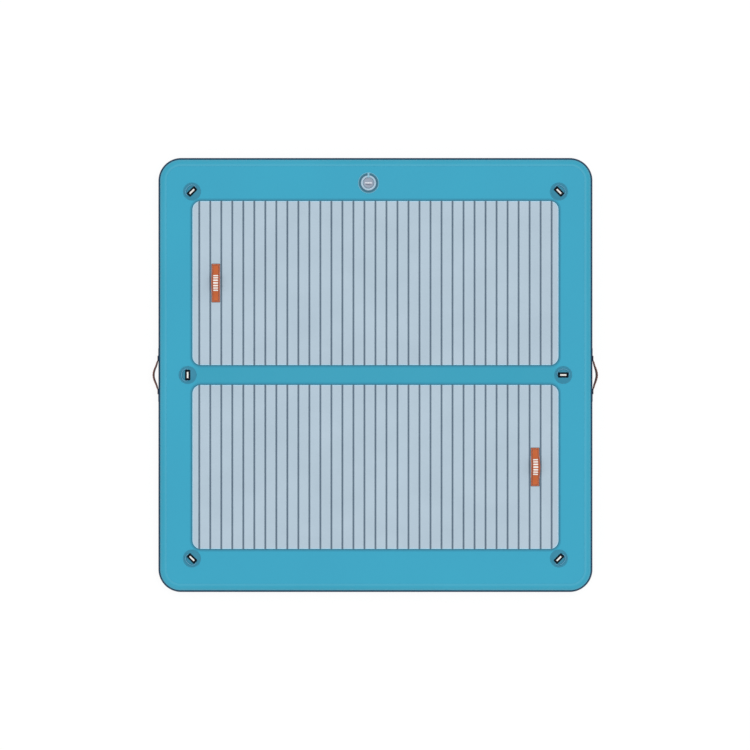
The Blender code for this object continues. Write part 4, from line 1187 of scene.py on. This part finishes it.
# %% [markdown]
# Inside the valve a wire spring holds the stem up. It is one wire wound four and a half times: a
# small circle, set upright beside the axis, is carried round and up by a screw modifier. Pressing
# the stem shortens the spring.

# %% Wind the return spring
SPRING_TURNS, SPRING_RADIUS, SPRING_WIRE = 4.5, 0.0055, 0.0005
low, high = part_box("valve_spring")
spring = begin(bpy.ops.mesh.primitive_circle_add, "return_spring_wire", vertices=12,
               radius=SPRING_WIRE)
bpy.ops.mesh.select_mode(type="VERT")
select_all()
bpy.ops.transform.rotate(value=math.pi / 2, orient_axis="X", center_override=(0, 0, 0))
bpy.ops.transform.translate(value=(SPRING_RADIUS, 0, SPRING_WIRE))
modify(spring, "SCREW", axis="Z", angle=math.tau * SPRING_TURNS, steps=144, render_steps=144,
       screw_offset=high.z - low.z - 2 * SPRING_WIRE)
for upper in (False, True):
    open_piece(spring)
    pick(spring, "EDGE", lambda edge: edge.is_boundary
         and (edge.verts[0].co.z > (high.z - low.z) / 2) == upper)
    bpy.ops.mesh.edge_face_add()
dress(spring, spring_steel, smooth=60)
drop_to_valve(spring, low.z)
settle(spring, "hull", "spring_steel", "valve_spring")
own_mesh(spring)

# %% [markdown]
# ## Pieces that stay as packed
#
# Inside the chamber and the valve, and under the handles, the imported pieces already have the
# right shape. They only take their finish.

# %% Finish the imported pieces
PACKED = {"drop_stitch_core": scrim, "valve_backing_nut": valve_nylon, "valve_guide": valve_nylon,
          "valve_stem": valve_nylon, "valve_seal_disc": black_rubber_and_shade,
          "valve_cap_seal": black_rubber_and_shade, "valve_cap_tether": tether_nylon}
for handle, fabric in (("rear_deck", hull_fabric), ("front_deck", hull_fabric),
                       ("left_side", strip_fabric), ("right_side", strip_fabric)):
    for letter in "ab":
        PACKED[f"{handle}_handle_patch_{letter}"] = fabric
for node, material in PACKED.items():
    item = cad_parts[node]
    item.data.materials.clear()
    item.data.materials.append(material)
print("packed pieces finished:", len(PACKED))

# %% [markdown]
# ## Floor and light
#
# The platform lies on a white floor under even light. A pale world lights it from all sides, and
# one broad lamp, almost upright above it, shapes the small parts. To a camera the floor is partly
# its own light, so that it reads as white, and it still keeps the platform's faint shadow.

# %% Floor
GLOW = 0.86                     # share of the floor that is its own light, to a camera
AMBIENT = 0.62                  # light from the world on everything, against 1 to a camera


def seen_by_eye(owner):
    """1 for rays from the camera, straight, mirrored or through glass, and 0 for the rest."""
    rays = add_node(owner, "ShaderNodeLightPath").outputs
    seen = rays["Is Camera Ray"]
    for kind in ("Is Glossy Ray", "Is Transmission Ray"):
        seen = add_node(owner, "ShaderNodeMath", links=[seen, rays[kind]],
                        operation="MAXIMUM").outputs[0]
    return seen


floor_paint = bpy.data.materials.new("White studio floor")
floor_paint.use_nodes = True
floor_nodes = floor_paint.node_tree
floor_nodes.nodes.remove(floor_nodes.nodes["Principled BSDF"])
share = add_node(floor_paint, "ShaderNodeMath", {1: GLOW}, [seen_by_eye(floor_paint)],
                 operation="MULTIPLY")
matt = add_node(floor_paint, "ShaderNodeBsdfDiffuse", {"Color": (0.9, 0.9, 0.9, 1)})
glow = add_node(floor_paint, "ShaderNodeEmission", {"Color": (1, 1, 1, 1), "Strength": 1.04})
floor_mix = add_node(floor_paint, "ShaderNodeMixShader",
                     links=[share.outputs[0], matt.outputs[0], glow.outputs[0]])
floor_nodes.links.new(floor_mix.outputs[0], floor_nodes.nodes["Material Output"].inputs["Surface"])
floor = begin(bpy.ops.mesh.primitive_plane_add, "studio_floor", size=120)
only(floor)
floor.data.materials.append(floor_paint)
move(floor, 0, 0, -0.0001)

# %% World and lamp
world = bpy.data.worlds.new("even_daylight")
bpy.context.scene.world = world
world.use_nodes = True
sky = world.node_tree.nodes["Background"]
sky.inputs["Color"].default_value = (1, 1, 1, 1)
sky_level = add_node(world, "ShaderNodeMapRange", {"To Min": AMBIENT, "To Max": 1.0},
                     [seen_by_eye(world)])
world.node_tree.links.new(sky_level.outputs["Result"], sky.inputs["Strength"])

lamp_data = bpy.data.lights.new("broad_lamp", "SUN")
lamp_data.energy = 1.15
lamp_data.angle = math.radians(40)
lamp = put_in_scene("broad_lamp", lamp_data)
lamp.rotation_euler = Vector((0.10, 0.08, 1)).to_track_quat("Z", "Y").to_euler()
bpy.context.scene.view_settings.view_transform = "Standard"
print("floor, world and lamp in place")
